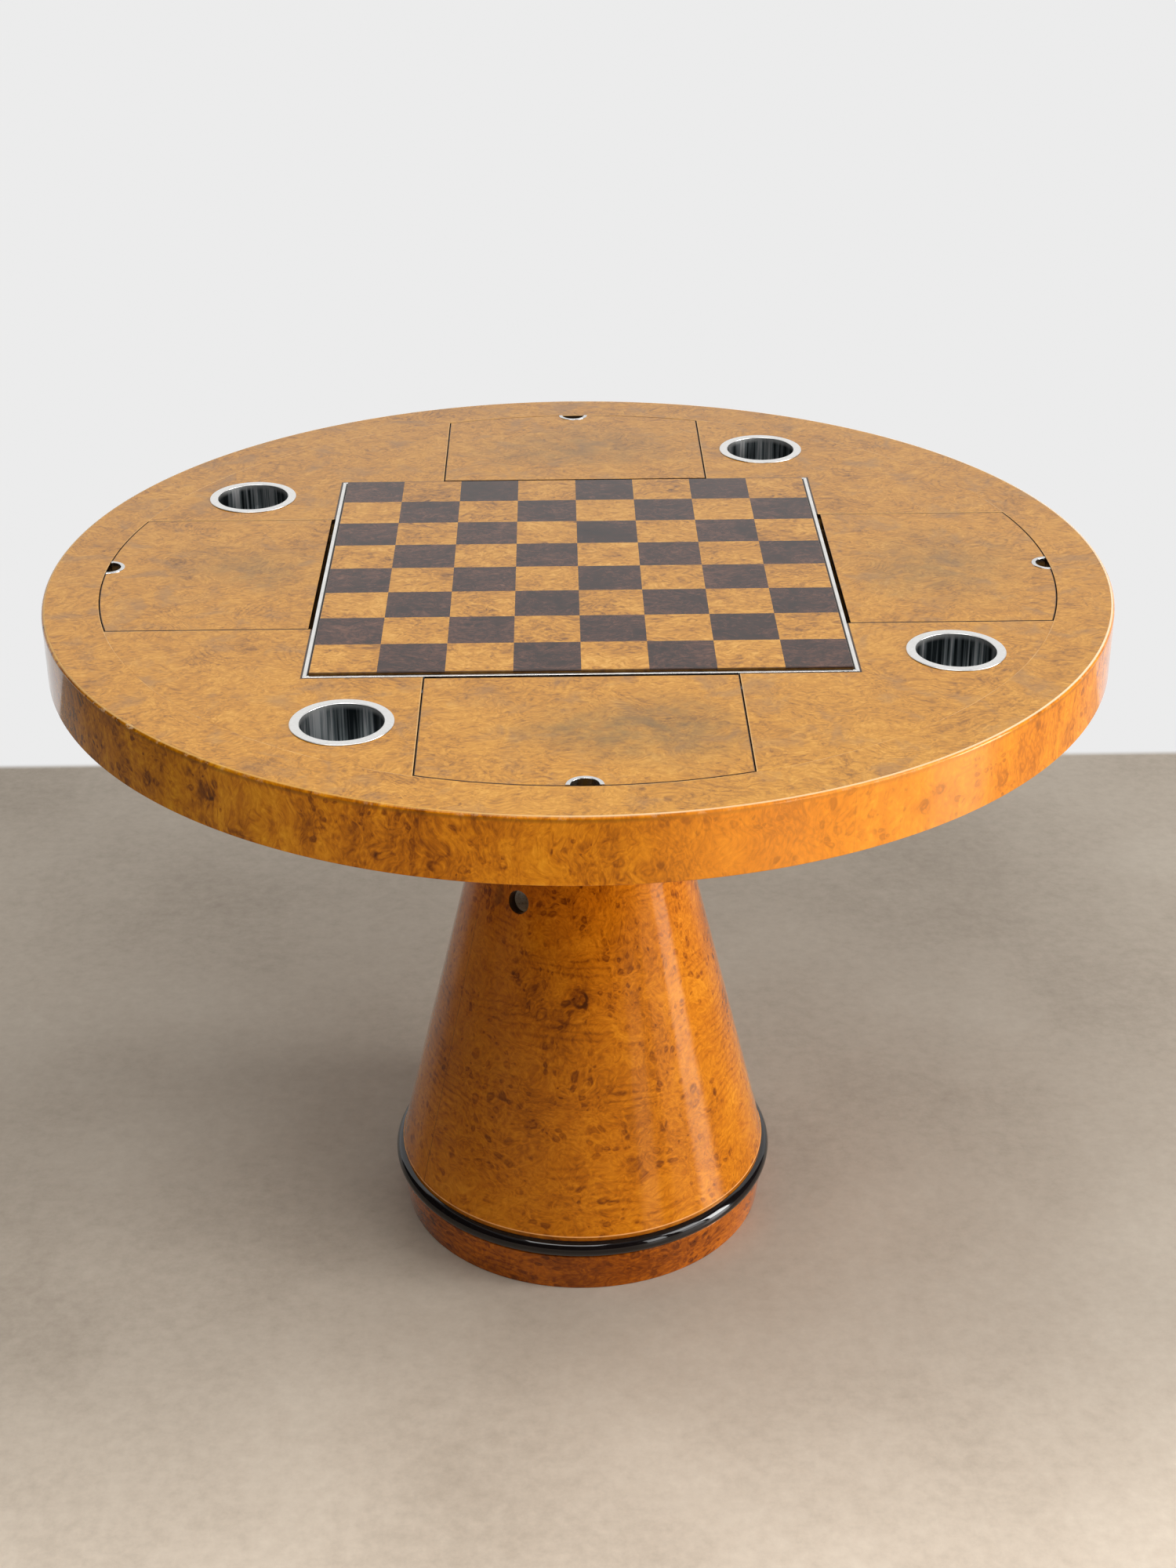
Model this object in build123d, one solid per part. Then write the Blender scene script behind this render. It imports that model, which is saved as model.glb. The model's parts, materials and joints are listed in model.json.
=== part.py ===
from build123d import *
import os
from math import atan, cos, degrees, radians, sin

# Round gaming table: a drum-shaped top on a conical pedestal. The middle of the top is a lift-out
# chequered board in a chrome frame. Four hinged lids around it cover felt-lined trays, and four
# drop-in cups stand between the lids. Millimetres, +Z up, +Y to the back, origin on the floor under
# the middle of the table.

# Table top
TOP_R = 530.0
TOP_Z = 752.0
APRON_HEIGHT = 64.5
APRON_WALL = 18.0
APRON_LIP = 3.5
ARRIS_R = 3.0
FIELD_R = 475.0
PANEL_THICK = 18.0
UNDERSIDE_THICK = 12.0

# Chequered board and its frame
SQUARES = 8
SQUARE = 62.3
TILE_THICK = 1.5
BACKING_THICK = 1.5
LIPPING = 3.0
BOARD_PROUD = 2.6
TRIM_OUTER = 254.5
TRIM_WIDTH = 4.5
TRIM_PROUD = 0.4
WELL_HALF = 240.0

# Lids, trays and hinges
OPENING_HALF = 144.5
LID_GAP = 1.0
HINGE_GAP = 4.0
PIVOT_INSET = 12.0
PIN_R = 3.0
PIN_FREE = 0.05
PIN_IN_LID = 20.0
PIN_REACH = 16.0
BUSH_R = 5.0
BUSH_LENGTH = 16.0
WALL_THICK = 12.0
CLEAT_WIDTH = 6.0
CLEAT_HEIGHT = 7.0
CLEAT_NEAR = 290.0
CLEAT_FAR = 440.0
FELT_THICK = 1.5
RIB_THICK = 12.0

# Finger pulls
PULL_HOLE_R = 12.5
PULL_WALL = 1.0
PULL_FLANGE_R = 16.5
PULL_PROUD = 0.8
PULL_SHORT = 2.0
PULL_EDGE = 0.3
LEFT_PULL_TURN = -1.8

# Drop-in cups
CUP_ORBIT = 408.0
CUP_ANGLE = -31.2
CUP_BORE_R = 37.5
CUP_WALL = 1.0
CUP_FLANGE_R = 46.25
CUP_FLANGE_THICK = 1.2
CUP_DEPTH = 50.0
CUP_FLOOR_R = 5.0
CUP_EDGE = 0.5
CUP_CLEARANCE = 0.5

# Conical pedestal
CONE_BASE_Z = 70.4
CONE_BASE_R = 202.4
CONE_SLOPE = 0.2413
CONE_WALL = 12.0
CONE_TOP_BLOCK = 32.0
CONE_DISC_THICK = 18.0
COLLAR_R = 202.9
SOCKET_R = 12.5
SOCKET_Z = 421.6
SOCKET_AZIMUTH = 33.8
SOCKET_DEPTH = 20.0
SOCKET_BLOCK = 70.0
SOCKET_BLOCK_THICK = 18.0

# Plinth
BEAD_LOW_Z = 46.4
BEAD_HIGH_Z = 65.6
BEAD_OUTER_R = 210.8
BASE_BOARD_R = 192.0
PLINTH_TOP_R = 205.6
PLINTH_FOOT_R = 199.8
PLINTH_WALL = 18.0
PLINTH_DISC_THICK = 18.0
BALLAST_R = 150.0

# Tie rod and top plate
PLATE_R = 95.0
PLATE_THICK = 6.0
PLATE_SCREWS = 6
SCREW_CIRCLE_R = 78.0
SCREW_R = 2.5
SCREW_HEAD_R = 5.0
SCREW_HEAD = 3.0
SCREW_BITE = 9.0
ROD_R = 6.0
NUT_FLATS = 19.0
NUT_HIGH = 8.0
WASHER_R = 16.0
WASHER_THICK = 2.5
ROD_POCKET_R = 20.0
ROD_POCKET = 12.0
ROD_TAIL_Z = 1.5
ROD_END_GAP = 1.0

# Levels and lengths worked out from the sizes above
UNDER_Z = TOP_Z - APRON_HEIGHT
FLOOR_Z = UNDER_Z + UNDERSIDE_THICK
PANEL_Z = TOP_Z - PANEL_THICK
BOARD_HALF = SQUARES * SQUARE / 2
BOARD_Z = TOP_Z + BOARD_PROUD
TILE_Z = BOARD_Z - TILE_THICK
CORE_Z = PANEL_Z + BACKING_THICK
TRIM_INNER = TRIM_OUTER - TRIM_WIDTH
LID_HALF = OPENING_HALF - LID_GAP
LID_R = FIELD_R - LID_GAP
LID_NEAR = TRIM_OUTER + HINGE_GAP
PIVOT_Y = LID_NEAR + PIVOT_INSET
PIVOT_Z = TOP_Z - PANEL_THICK / 2
PLATE_Z = UNDER_Z - PLATE_THICK
CONE_ANGLE = atan(CONE_SLOPE)
CONE_INSET = CONE_WALL / cos(CONE_ANGLE)
PULL_NOTCH_R = PULL_HOLE_R + PULL_WALL
CUP_SHELL_R = CUP_BORE_R + CUP_WALL
LARGE = 2 * TOP_R
QUARTER = 90

# Each side of the table is the front one turned about the table's axis, and so is each corner
SIDE_TURNS = {"front": 0, "right": 90, "back": 180, "left": 270}
CORNER_TURNS = {"front_right": 0, "back_right": 90, "back_left": 180, "front_left": 270}


def slab(low, high):
    """Box between two opposite corners."""
    size = [b - a for a, b in zip(low, high)]
    middle = [(a + b) / 2 for a, b in zip(low, high)]
    return Pos(*middle) * Box(*size)


def disc(radius, low_z, high_z):
    """Upright cylinder on the table's axis."""
    middle_z = (low_z + high_z) / 2
    return Pos(0, 0, middle_z) * Cylinder(radius, high_z - low_z)


def ring(outer_r, inner_r, low_z, high_z):
    """Upright tube on the table's axis."""
    return disc(outer_r, low_z, high_z) - disc(inner_r, low_z, high_z)


def turned(profile):
    """Solid of revolution about the table's axis from a profile in the XZ plane."""
    return revolve(Plane.XZ * make_face(profile), Axis.Z)


def around(shape, angle):
    """The shape turned about the table's axis."""
    return Rot(0, 0, angle) * shape


def along_x(radius, low_x, high_x):
    """Cylinder along X at the height and distance of the front hinge."""
    middle = Pos((low_x + high_x) / 2, -PIVOT_Y, PIVOT_Z)
    return middle * Rot(0, 90, 0) * Cylinder(radius, high_x - low_x)


def group(solids):
    """Separate solids that share one node."""
    return Compound(children=list(solids))


# ---- Table top: frame and panels ----

def apron_ring():
    """Bent hoop whose lip frames the top, with a ledge inside for the border."""
    inner_r = TOP_R - APRON_WALL
    lip_r = TOP_R - APRON_LIP
    outline = Polyline(
        (TOP_R - ARRIS_R, TOP_Z), (lip_r, TOP_Z), (lip_r, PANEL_Z), (inner_r, PANEL_Z),
        (inner_r, UNDER_Z), (TOP_R, UNDER_Z), (TOP_R, TOP_Z - ARRIS_R),
    )
    arris = RadiusArc((TOP_R, TOP_Z - ARRIS_R), (TOP_R - ARRIS_R, TOP_Z), -ARRIS_R)
    return turned(outline + arris)


def border_segment():
    """Front quarter of the outer band, between joints that lie on the diagonals."""
    outer_r = TOP_R - APRON_LIP
    section = Polyline((FIELD_R, PANEL_Z), (outer_r, PANEL_Z), (outer_r, TOP_Z), (FIELD_R, TOP_Z), close=True)
    quarter = revolve(Plane.XZ * make_face(section), Axis.Z, QUARTER)
    return around(quarter, -QUARTER * 3 / 2)


def cup_place():
    """Middle of the front right cup, level with the top."""
    turn = radians(CUP_ANGLE)
    return Pos(CUP_ORBIT * cos(turn), CUP_ORBIT * sin(turn), TOP_Z)


def corner_panel():
    """L-shaped piece of the field at the front right, with the cup's hole and two hinge holes."""
    quarter = slab((OPENING_HALF, -LARGE, PANEL_Z), (LARGE, -OPENING_HALF, TOP_Z))
    board_corner = slab((0, -TRIM_OUTER, PANEL_Z), (TRIM_OUTER, 0, TOP_Z))
    panel = quarter & disc(FIELD_R, PANEL_Z, TOP_Z)
    panel -= board_corner
    panel -= cup_place() * Cylinder(CUP_SHELL_R + CUP_CLEARANCE, 3 * PANEL_THICK)
    hinge_hole = along_x(BUSH_R, OPENING_HALF, OPENING_HALF + BUSH_LENGTH)
    panel -= hinge_hole
    panel -= around(mirror(hinge_hole, Plane.YZ), 90)
    return panel


def underside_panel():
    """Round floor of the drum, with a pocket for the top nut and pilot holes for the plate screws."""
    panel = disc(TOP_R - APRON_WALL, UNDER_Z, FLOOR_Z)
    panel -= disc(ROD_POCKET_R, UNDER_Z, FLOOR_Z)
    for place in screw_places(UNDER_Z):
        panel -= place * Pos(0, 0, SCREW_BITE / 2) * Cylinder(SCREW_R, SCREW_BITE)
    return panel


def well_wall_long(side_sign):
    """Front or back wall of the well, which also carries the edge of the board."""
    near, far = sorted((side_sign * WELL_HALF, side_sign * TRIM_OUTER))
    return slab((-TRIM_OUTER, near, FLOOR_Z), (TRIM_OUTER, far, PANEL_Z))


def well_wall_short(side_sign):
    """Left or right wall of the well, between the long walls."""
    near, far = sorted((side_sign * WELL_HALF, side_sign * TRIM_OUTER))
    return slab((near, -WELL_HALF, FLOOR_Z), (far, WELL_HALF, PANEL_Z))


def trim_bar():
    """Front bar of the chrome frame, mitred at both ends."""
    bar = slab((-TRIM_OUTER, -TRIM_OUTER, PANEL_Z), (TRIM_OUTER, -TRIM_INNER, TOP_Z + TRIM_PROUD))
    mitre = Polyline((0, 0), (-TRIM_OUTER, -TRIM_OUTER), (TRIM_OUTER, -TRIM_OUTER), close=True)
    wedge = extrude(Plane.XY.offset(PANEL_Z) * make_face(mitre), PANEL_THICK + TRIM_PROUD)
    return bar & wedge


def tray_side_wall():
    """Wall under one side of the front opening, up to the curved wall."""
    wall = slab((OPENING_HALF, -LARGE, FLOOR_Z), (OPENING_HALF + WALL_THICK, -TRIM_OUTER, PANEL_Z))
    return wall & disc(FIELD_R, FLOOR_Z, PANEL_Z)


def tray_arc_wall():
    """Curved outer wall of the front tray."""
    half = OPENING_HALF + WALL_THICK
    sector = slab((-half, -LARGE, FLOOR_Z), (half, 0, PANEL_Z))
    return ring(FIELD_R + WALL_THICK, FIELD_R, FLOOR_Z, PANEL_Z) & sector


def lid_cleat():
    """Strip on a tray's side wall that the front lid lies on."""
    low = (OPENING_HALF - CLEAT_WIDTH, -CLEAT_FAR, PANEL_Z - CLEAT_HEIGHT)
    return slab(low, (OPENING_HALF, -CLEAT_NEAR, PANEL_Z))


def tray_lining():
    """Felt on the floor of the front tray."""
    top_z = FLOOR_Z + FELT_THICK
    felt = slab((-OPENING_HALF, -LARGE, FLOOR_Z), (OPENING_HALF, -TRIM_OUTER, top_z))
    return felt & disc(FIELD_R, FLOOR_Z, top_z)


def well_lining():
    """Felt on the floor of the well under the board."""
    return slab((-WELL_HALF, -WELL_HALF, FLOOR_Z), (WELL_HALF, WELL_HALF, FLOOR_Z + FELT_THICK))


def corner_rib():
    """Diagonal rib from the corner of the well to the apron."""
    start = TRIM_OUTER / cos(radians(45))
    rib = slab((start, -RIB_THICK / 2, FLOOR_Z), (TOP_R, RIB_THICK / 2, PANEL_Z))
    return around(rib & disc(TOP_R - APRON_WALL, FLOOR_Z, PANEL_Z), -45)


def hinge_bush():
    """Sleeve in the edge of a corner panel that holds a lid's pin."""
    end_x = OPENING_HALF + BUSH_LENGTH
    return along_x(BUSH_R, OPENING_HALF, end_x) - along_x(PIN_R + PIN_FREE, OPENING_HALF, end_x)


# ---- Lids ----

def pull_place(side):
    """Middle of a lid's finger notch on its outer arc, the lid still at the front."""
    turn = LEFT_PULL_TURN if side == "left" else 0
    return Rot(0, 0, turn) * Pos(0, -LID_R, TOP_Z)


def lid_panel(side):
    """Lid, still at the front: straight sides, curved outer edge, finger notch, two pin holes."""
    lid = slab((-LID_HALF, -LARGE, PANEL_Z), (LID_HALF, -LID_NEAR, TOP_Z))
    lid &= disc(LID_R, PANEL_Z, TOP_Z)
    lid -= pull_place(side) * Cylinder(PULL_NOTCH_R, 3 * PANEL_THICK)
    for pin in hinge_pins():
        lid -= pin
    return lid


def hinge_pins():
    """The two pins of the front lid, one at each end of its inner edge."""
    pin = along_x(PIN_R, LID_HALF - PIN_IN_LID, LID_HALF + PIN_REACH)
    return [pin, mirror(pin, Plane.YZ)]


def finger_pull(side):
    """Half-round flanged sleeve that lines a lid's notch, the lid still at the front."""
    low_z = PULL_SHORT - PANEL_THICK
    sleeve = Pos(0, 0, (low_z + PULL_PROUD) / 2) * Cylinder(PULL_NOTCH_R, PULL_PROUD - low_z)
    flange = Pos(0, 0, PULL_PROUD / 2) * Cylinder(PULL_FLANGE_R, PULL_PROUD)
    rim = flange.edges().group_by(Axis.Z)[-1]
    pull = sleeve + chamfer(rim, PULL_EDGE)
    pull -= Cylinder(PULL_HOLE_R, 3 * PANEL_THICK)
    return (pull_place(side) * pull) & disc(LID_R, PANEL_Z, TOP_Z + PULL_PROUD)


# ---- Chequered board ----

def board_squares(shade):
    """The tiles of one shade, as seen from the front: 0 is the near left square's shade."""
    tiles = []
    for column in range(SQUARES):
        for row in range(SQUARES):
            if (column + row) % 2 == shade:
                x = column * SQUARE - BOARD_HALF
                y = row * SQUARE - BOARD_HALF
                tiles.append(slab((x, y, TILE_Z), (x + SQUARE, y + SQUARE, BOARD_Z)))
    return group(tiles)


def board_core():
    half = BOARD_HALF - LIPPING
    return slab((-half, -half, CORE_Z), (half, half, TILE_Z))


def board_lipping():
    """Solid edging around the core, mitred strips glued into one frame."""
    return slab((-BOARD_HALF, -BOARD_HALF, CORE_Z), (BOARD_HALF, BOARD_HALF, TILE_Z)) - board_core()


def board_backing():
    return slab((-BOARD_HALF, -BOARD_HALF, PANEL_Z), (BOARD_HALF, BOARD_HALF, CORE_Z))


# ---- Cups ----

def cup():
    """Spun cup with a flange that rests on the top, its bore open upwards."""
    floor_z = CUP_FLANGE_THICK - CUP_DEPTH
    outer = Pos(0, 0, floor_z / 2) * Cylinder(CUP_SHELL_R, -floor_z + 2 * CUP_WALL)
    outer &= Pos(0, 0, (floor_z - CUP_WALL) / 2) * Cylinder(CUP_SHELL_R, CUP_WALL - floor_z)
    outer = fillet(outer.edges().group_by(Axis.Z)[0], CUP_FLOOR_R + CUP_WALL)
    flange = Pos(0, 0, CUP_FLANGE_THICK / 2) * Cylinder(CUP_FLANGE_R, CUP_FLANGE_THICK)
    flange = fillet(flange.edges().group_by(Axis.Z)[-1], CUP_EDGE)
    hollow = Pos(0, 0, floor_z + CUP_DEPTH / 2) * Cylinder(CUP_BORE_R, CUP_DEPTH)
    hollow = fillet(hollow.edges().group_by(Axis.Z)[0], CUP_FLOOR_R)
    return cup_place() * ((outer + flange) - hollow)


# ---- Pedestal ----

def cone_r(z):
    """Outer radius of the pedestal's cone at a height."""
    return CONE_BASE_R - CONE_SLOPE * (z - CONE_BASE_Z)


def cone_inside(low_z, high_z):
    """Solid that fills the cone's hollow between two heights."""
    low_r = cone_r(low_z) - CONE_INSET
    high_r = cone_r(high_z) - CONE_INSET
    return turned(Polyline((0, low_z), (low_r, low_z), (high_r, high_z), (0, high_z), close=True))


def socket_plane():
    """Plane on the cone's face at the round socket, with its normal pointing out."""
    turn = radians(-90 - SOCKET_AZIMUTH)
    outward = Vector(cos(turn), sin(turn), 0)
    face_r = cone_r(SOCKET_Z)
    origin = outward * face_r + Vector(0, 0, SOCKET_Z)
    normal = outward * cos(CONE_ANGLE) + Vector(0, 0, sin(CONE_ANGLE))
    sideways = Vector(-sin(turn), cos(turn), 0)
    return Plane(origin=origin, x_dir=sideways, z_dir=normal)


def socket_cut():
    """Round blind hole, from outside the cone to its floor."""
    outside = 2 * SOCKET_R
    length = SOCKET_DEPTH + outside
    return socket_plane() * Pos(0, 0, outside - length / 2) * Cylinder(SOCKET_R, length)


def cone_shell():
    outer = turned(Polyline(
        (0, CONE_BASE_Z), (CONE_BASE_R, CONE_BASE_Z), (cone_r(PLATE_Z), PLATE_Z), (0, PLATE_Z), close=True,
    ))
    return outer - cone_inside(CONE_BASE_Z, PLATE_Z) - socket_cut()


def socket_block():
    """Raw block behind the shell that backs the socket, curved to the shell's inner face."""
    back_z = -CONE_WALL - SOCKET_BLOCK_THICK
    block = socket_plane() * Pos(0, 0, back_z / 2) * Box(SOCKET_BLOCK, SOCKET_BLOCK, -back_z)
    return (block & cone_inside(CONE_BASE_Z, PLATE_Z)) - socket_cut()


def cone_top_block():
    """Plug in the top of the cone that the plate bears on."""
    return cone_inside(PLATE_Z - CONE_TOP_BLOCK, PLATE_Z) - disc(ROD_R, 0, TOP_Z)


def cone_base_disc():
    """Disc under the cone: its rim shows as a narrow collar, its boss centres the shell."""
    boss = cone_inside(CONE_BASE_Z, BEAD_HIGH_Z + CONE_DISC_THICK)
    return disc(COLLAR_R, BEAD_HIGH_Z, CONE_BASE_Z) + boss - disc(ROD_R, 0, TOP_Z)


def bead_ring():
    """Half-round bead around the base board."""
    bead_r = (BEAD_HIGH_Z - BEAD_LOW_Z) / 2
    round_r = BEAD_OUTER_R - bead_r
    sides = Polyline(
        (round_r, BEAD_HIGH_Z), (BASE_BOARD_R, BEAD_HIGH_Z), (BASE_BOARD_R, BEAD_LOW_Z), (round_r, BEAD_LOW_Z),
    )
    nose = ThreePointArc(
        (round_r, BEAD_LOW_Z), (BEAD_OUTER_R, (BEAD_LOW_Z + BEAD_HIGH_Z) / 2), (round_r, BEAD_HIGH_Z),
    )
    return turned(sides + nose)


def base_board():
    return ring(BASE_BOARD_R, ROD_R, BEAD_LOW_Z, BEAD_HIGH_Z)


def plinth_band():
    """Bent band that stands on the floor and tapers in towards it."""
    return turned(Polyline(
        (PLINTH_FOOT_R, 0), (PLINTH_TOP_R, BEAD_LOW_Z), (PLINTH_TOP_R - PLINTH_WALL, BEAD_LOW_Z),
        (PLINTH_FOOT_R - PLINTH_WALL, 0), close=True,
    ))


def plinth_disc():
    """Bottom board inside the band, with a pocket for the lower nut."""
    foot_r = PLINTH_FOOT_R - PLINTH_WALL
    plate = ring(foot_r, ROD_R, 0, PLINTH_DISC_THICK)
    return plate - disc(ROD_POCKET_R, 0, ROD_POCKET)


def ballast_disc():
    return ring(BALLAST_R, ROD_R, PLINTH_DISC_THICK, BEAD_LOW_Z)


# ---- Tie rod and plate ----

def screw_places(z):
    """Places of the plate screws at a height."""
    step = 360 / PLATE_SCREWS
    return [Pos(0, 0, z) * Rot(0, 0, step * i) * Pos(SCREW_CIRCLE_R, 0, 0) for i in range(PLATE_SCREWS)]


def mounting_plate():
    plate = ring(PLATE_R, ROD_R, PLATE_Z, UNDER_Z)
    for place in screw_places(PLATE_Z):
        plate -= place * Pos(0, 0, PLATE_THICK / 2) * Cylinder(SCREW_R, PLATE_THICK)
    return plate


def plate_screw():
    """Pan-head screw with its seat at height zero, pointing up."""
    shank = Pos(0, 0, (PLATE_THICK + SCREW_BITE) / 2) * Cylinder(SCREW_R, PLATE_THICK + SCREW_BITE)
    head = Pos(0, 0, -SCREW_HEAD / 2) * Cylinder(SCREW_HEAD_R, SCREW_HEAD)
    head = fillet(head.edges().group_by(Axis.Z)[0], SCREW_HEAD / 2)
    return shank + head


def rod_nut(low_z):
    hexagon = Plane.XY.offset(low_z) * RegularPolygon(NUT_FLATS / 2, 6, major_radius=False)
    return extrude(hexagon, NUT_HIGH) - disc(ROD_R, low_z, low_z + NUT_HIGH)


def rod_parts():
    """The rod, its two nuts and its two washers."""
    low_washer_z = ROD_POCKET - WASHER_THICK
    high_nut_z = UNDER_Z + WASHER_THICK
    rod = disc(ROD_R, ROD_TAIL_Z, FLOOR_Z - ROD_END_GAP)
    nuts = [rod_nut(low_washer_z - NUT_HIGH), rod_nut(high_nut_z)]
    washers = [
        ring(WASHER_R, ROD_R, low_washer_z, ROD_POCKET),
        ring(WASHER_R, ROD_R, UNDER_Z, high_nut_z),
    ]
    return {"tie_rod": rod, "rod_nuts": group(nuts), "rod_washers": group(washers)}


def both_sides(shape):
    """The shape and its mirror image across the front opening's middle."""
    return [shape, mirror(shape, Plane.YZ)]


def on_all_sides(solids):
    """The front opening's solids repeated at the four openings."""
    return group(around(solid, turn) for turn in SIDE_TURNS.values() for solid in solids)


def build():
    nodes = {
        "apron_ring": apron_ring(),
        "border_ring": on_all_sides([border_segment()]),
        "underside_panel": underside_panel(),
        "well_wall_front": well_wall_long(-1),
        "well_wall_back": well_wall_long(1),
        "well_wall_left": well_wall_short(-1),
        "well_wall_right": well_wall_short(1),
        "tray_side_walls": on_all_sides(both_sides(tray_side_wall())),
        "tray_arc_walls": on_all_sides([tray_arc_wall()]),
        "lid_cleats": on_all_sides(both_sides(lid_cleat())),
        "hinge_bushes": on_all_sides(both_sides(hinge_bush())),
        "tray_linings": on_all_sides([tray_lining()]),
        "well_lining": well_lining(),
        "corner_ribs": on_all_sides([corner_rib()]),
        "cone_shell": cone_shell(),
        "socket_block": socket_block(),
        "cone_top_block": cone_top_block(),
        "cone_base_disc": cone_base_disc(),
        "bead_ring": bead_ring(),
        "base_board": base_board(),
        "plinth_band": plinth_band(),
        "plinth_disc": plinth_disc(),
        "ballast_disc": ballast_disc(),
        "mounting_plate": mounting_plate(),
        "plate_screws": group(place * plate_screw() for place in screw_places(PLATE_Z)),
        "board_core": board_core(),
        "board_lipping": board_lipping(),
        "board_backing": board_backing(),
        "light_squares": board_squares(0),
        "dark_squares": board_squares(1),
    }
    nodes.update(rod_parts())
    for side, turn in SIDE_TURNS.items():
        nodes["trim_" + side] = around(trim_bar(), turn)
        nodes["lid_" + side] = around(lid_panel(side), turn)
        nodes["pull_" + side] = around(finger_pull(side), turn)
        nodes["hinge_pins_" + side] = group(around(pin, turn) for pin in hinge_pins())
    for corner, turn in CORNER_TURNS.items():
        nodes["corner_panel_" + corner] = around(corner_panel(), turn)
        nodes["cup_" + corner] = around(cup(), turn)
    return nodes


os.makedirs("parts", exist_ok=True)
for name, shape in build().items():
    export_step(shape, f"parts/{name}.step")
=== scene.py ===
import json
from math import asin, atan2, cos, degrees, hypot, pi, radians, sin, sqrt, tan

import bmesh
import bpy
from mathutils import Matrix, Vector

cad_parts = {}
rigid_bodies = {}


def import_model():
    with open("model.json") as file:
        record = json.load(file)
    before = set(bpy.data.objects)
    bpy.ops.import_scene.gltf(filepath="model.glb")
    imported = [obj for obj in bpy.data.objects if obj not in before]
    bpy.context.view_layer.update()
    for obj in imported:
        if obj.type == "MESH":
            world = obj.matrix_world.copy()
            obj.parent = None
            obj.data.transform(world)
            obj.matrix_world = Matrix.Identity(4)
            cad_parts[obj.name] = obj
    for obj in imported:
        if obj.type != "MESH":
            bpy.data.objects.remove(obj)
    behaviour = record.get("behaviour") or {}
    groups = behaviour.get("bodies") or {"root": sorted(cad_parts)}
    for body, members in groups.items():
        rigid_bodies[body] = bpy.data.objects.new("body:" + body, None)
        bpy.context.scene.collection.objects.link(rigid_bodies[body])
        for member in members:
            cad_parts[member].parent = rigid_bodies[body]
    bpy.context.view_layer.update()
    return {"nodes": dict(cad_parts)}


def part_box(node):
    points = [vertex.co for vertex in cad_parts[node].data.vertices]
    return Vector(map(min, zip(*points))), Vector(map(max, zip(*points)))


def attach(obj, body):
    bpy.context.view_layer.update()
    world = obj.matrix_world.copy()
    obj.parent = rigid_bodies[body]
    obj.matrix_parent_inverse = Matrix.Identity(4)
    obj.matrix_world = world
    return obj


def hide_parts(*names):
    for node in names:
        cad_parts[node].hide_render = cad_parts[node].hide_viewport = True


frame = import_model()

# Looks of a round gaming table: a burl-veneered drum top with four lids, a chequered board in a
# chrome frame and four chrome cups, on a conical pedestal. Metres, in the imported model's frame.

MM = 0.001

# Each side is the front one turned about the table's axis, and so is each corner
SIDE_TURNS = {"front": 0, "right": 90, "back": 180, "left": 270}
CORNERS = ["front_right", "back_right", "back_left", "front_left"]

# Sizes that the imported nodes' boxes don't give
APRON_WALL = 18 * MM
ARRIS_R = 3 * MM
FOOT_EASE = 1.2 * MM
CUP_BORE_R = 37.5 * MM
CUP_WALL = 1 * MM
CUP_FLOOR_R = 5 * MM
CUP_HOLE_R = 39 * MM
PULL_HOLE_R = 12.5 * MM
PULL_NOTCH_R = 13.5 * MM
PULL_SETBACK = 0.35 * MM
PLINTH_WALL = 18 * MM
TRAY_HALF = 144.5 * MM
SQUARES = 8

# Roundings of the eased edges
BORDER_EASE = 0.15 * MM
PANEL_EASE = 0.3 * MM
TRIM_EASE = 0.4 * MM
LID_EASE = 0.5 * MM
TILE_EASE = 1.0 * MM

# Fineness of the meshes
TURNS, CUP_TURNS, PULL_TURNS = 288, 128, 48
ARC_STEP = radians(1)
FILLET_STEPS = 5
EDGE_STEPS = 4
FELT_CELLS = 40
SHARP = radians(32)
LATHE_MERGE, PLATE_MERGE = 1e-7, 1e-6

# Floor and backdrop, which aren't part of the table
BACKDROP = (0.838, 0.838, 0.838, 1.0)
BACKDROP_Y = 1.05
FLOOR_REACH = 14.0


def node_radii(name, level=None):
    """Least and greatest distance of a CAD node's vertices, or of those at a level, from the axis."""
    points = [vertex.co for vertex in frame["nodes"][name].data.vertices]
    if level is not None:
        points = [point for point in points if abs(point.z - level) < 0.5 * MM]
    distances = [hypot(point.x, point.y) for point in points]
    return min(distances), max(distances)


def box_middle(name):
    """Middle of a CAD node's box, seen from above."""
    low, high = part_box(name)
    return (low.x + high.x) / 2, (low.y + high.y) / 2


APRON_LOW, APRON_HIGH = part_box("apron_ring")
TOP_R, TOP_Z, UNDER_Z = APRON_HIGH.x, APRON_HIGH.z, APRON_LOW.z
PANEL_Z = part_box("border_ring")[0].z
FIELD_R, BORDER_R = node_radii("border_ring")
FLOOR_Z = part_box("underside_panel")[1].z
FELT_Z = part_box("well_lining")[1].z
LID_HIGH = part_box("lid_front")[1]
LID_HALF, LID_NEAR = LID_HIGH.x, -LID_HIGH.y
LID_R = node_radii("lid_front")[1]
TRIM_LOW, TRIM_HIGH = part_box("trim_front")
TRIM_OUTER, TRIM_INNER, TRIM_Z = -TRIM_LOW.y, -TRIM_HIGH.y, TRIM_HIGH.z
CUP_LOW_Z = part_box("cup_front_left")[0].z
CONE_LOW, CONE_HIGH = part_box("cone_shell")
COLLAR_Z, CONE_TOP_Z = CONE_LOW.z, CONE_HIGH.z
BEAD_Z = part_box("bead_ring")[1].z
TILE_LOW, TILE_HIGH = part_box("light_squares")
BOARD_HALF, BOARD_Z, TILE_Z = TILE_HIGH.x, TILE_HIGH.z, TILE_LOW.z
SQUARE = 2 * BOARD_HALF / SQUARES


# ---- Mesh making ----

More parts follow.
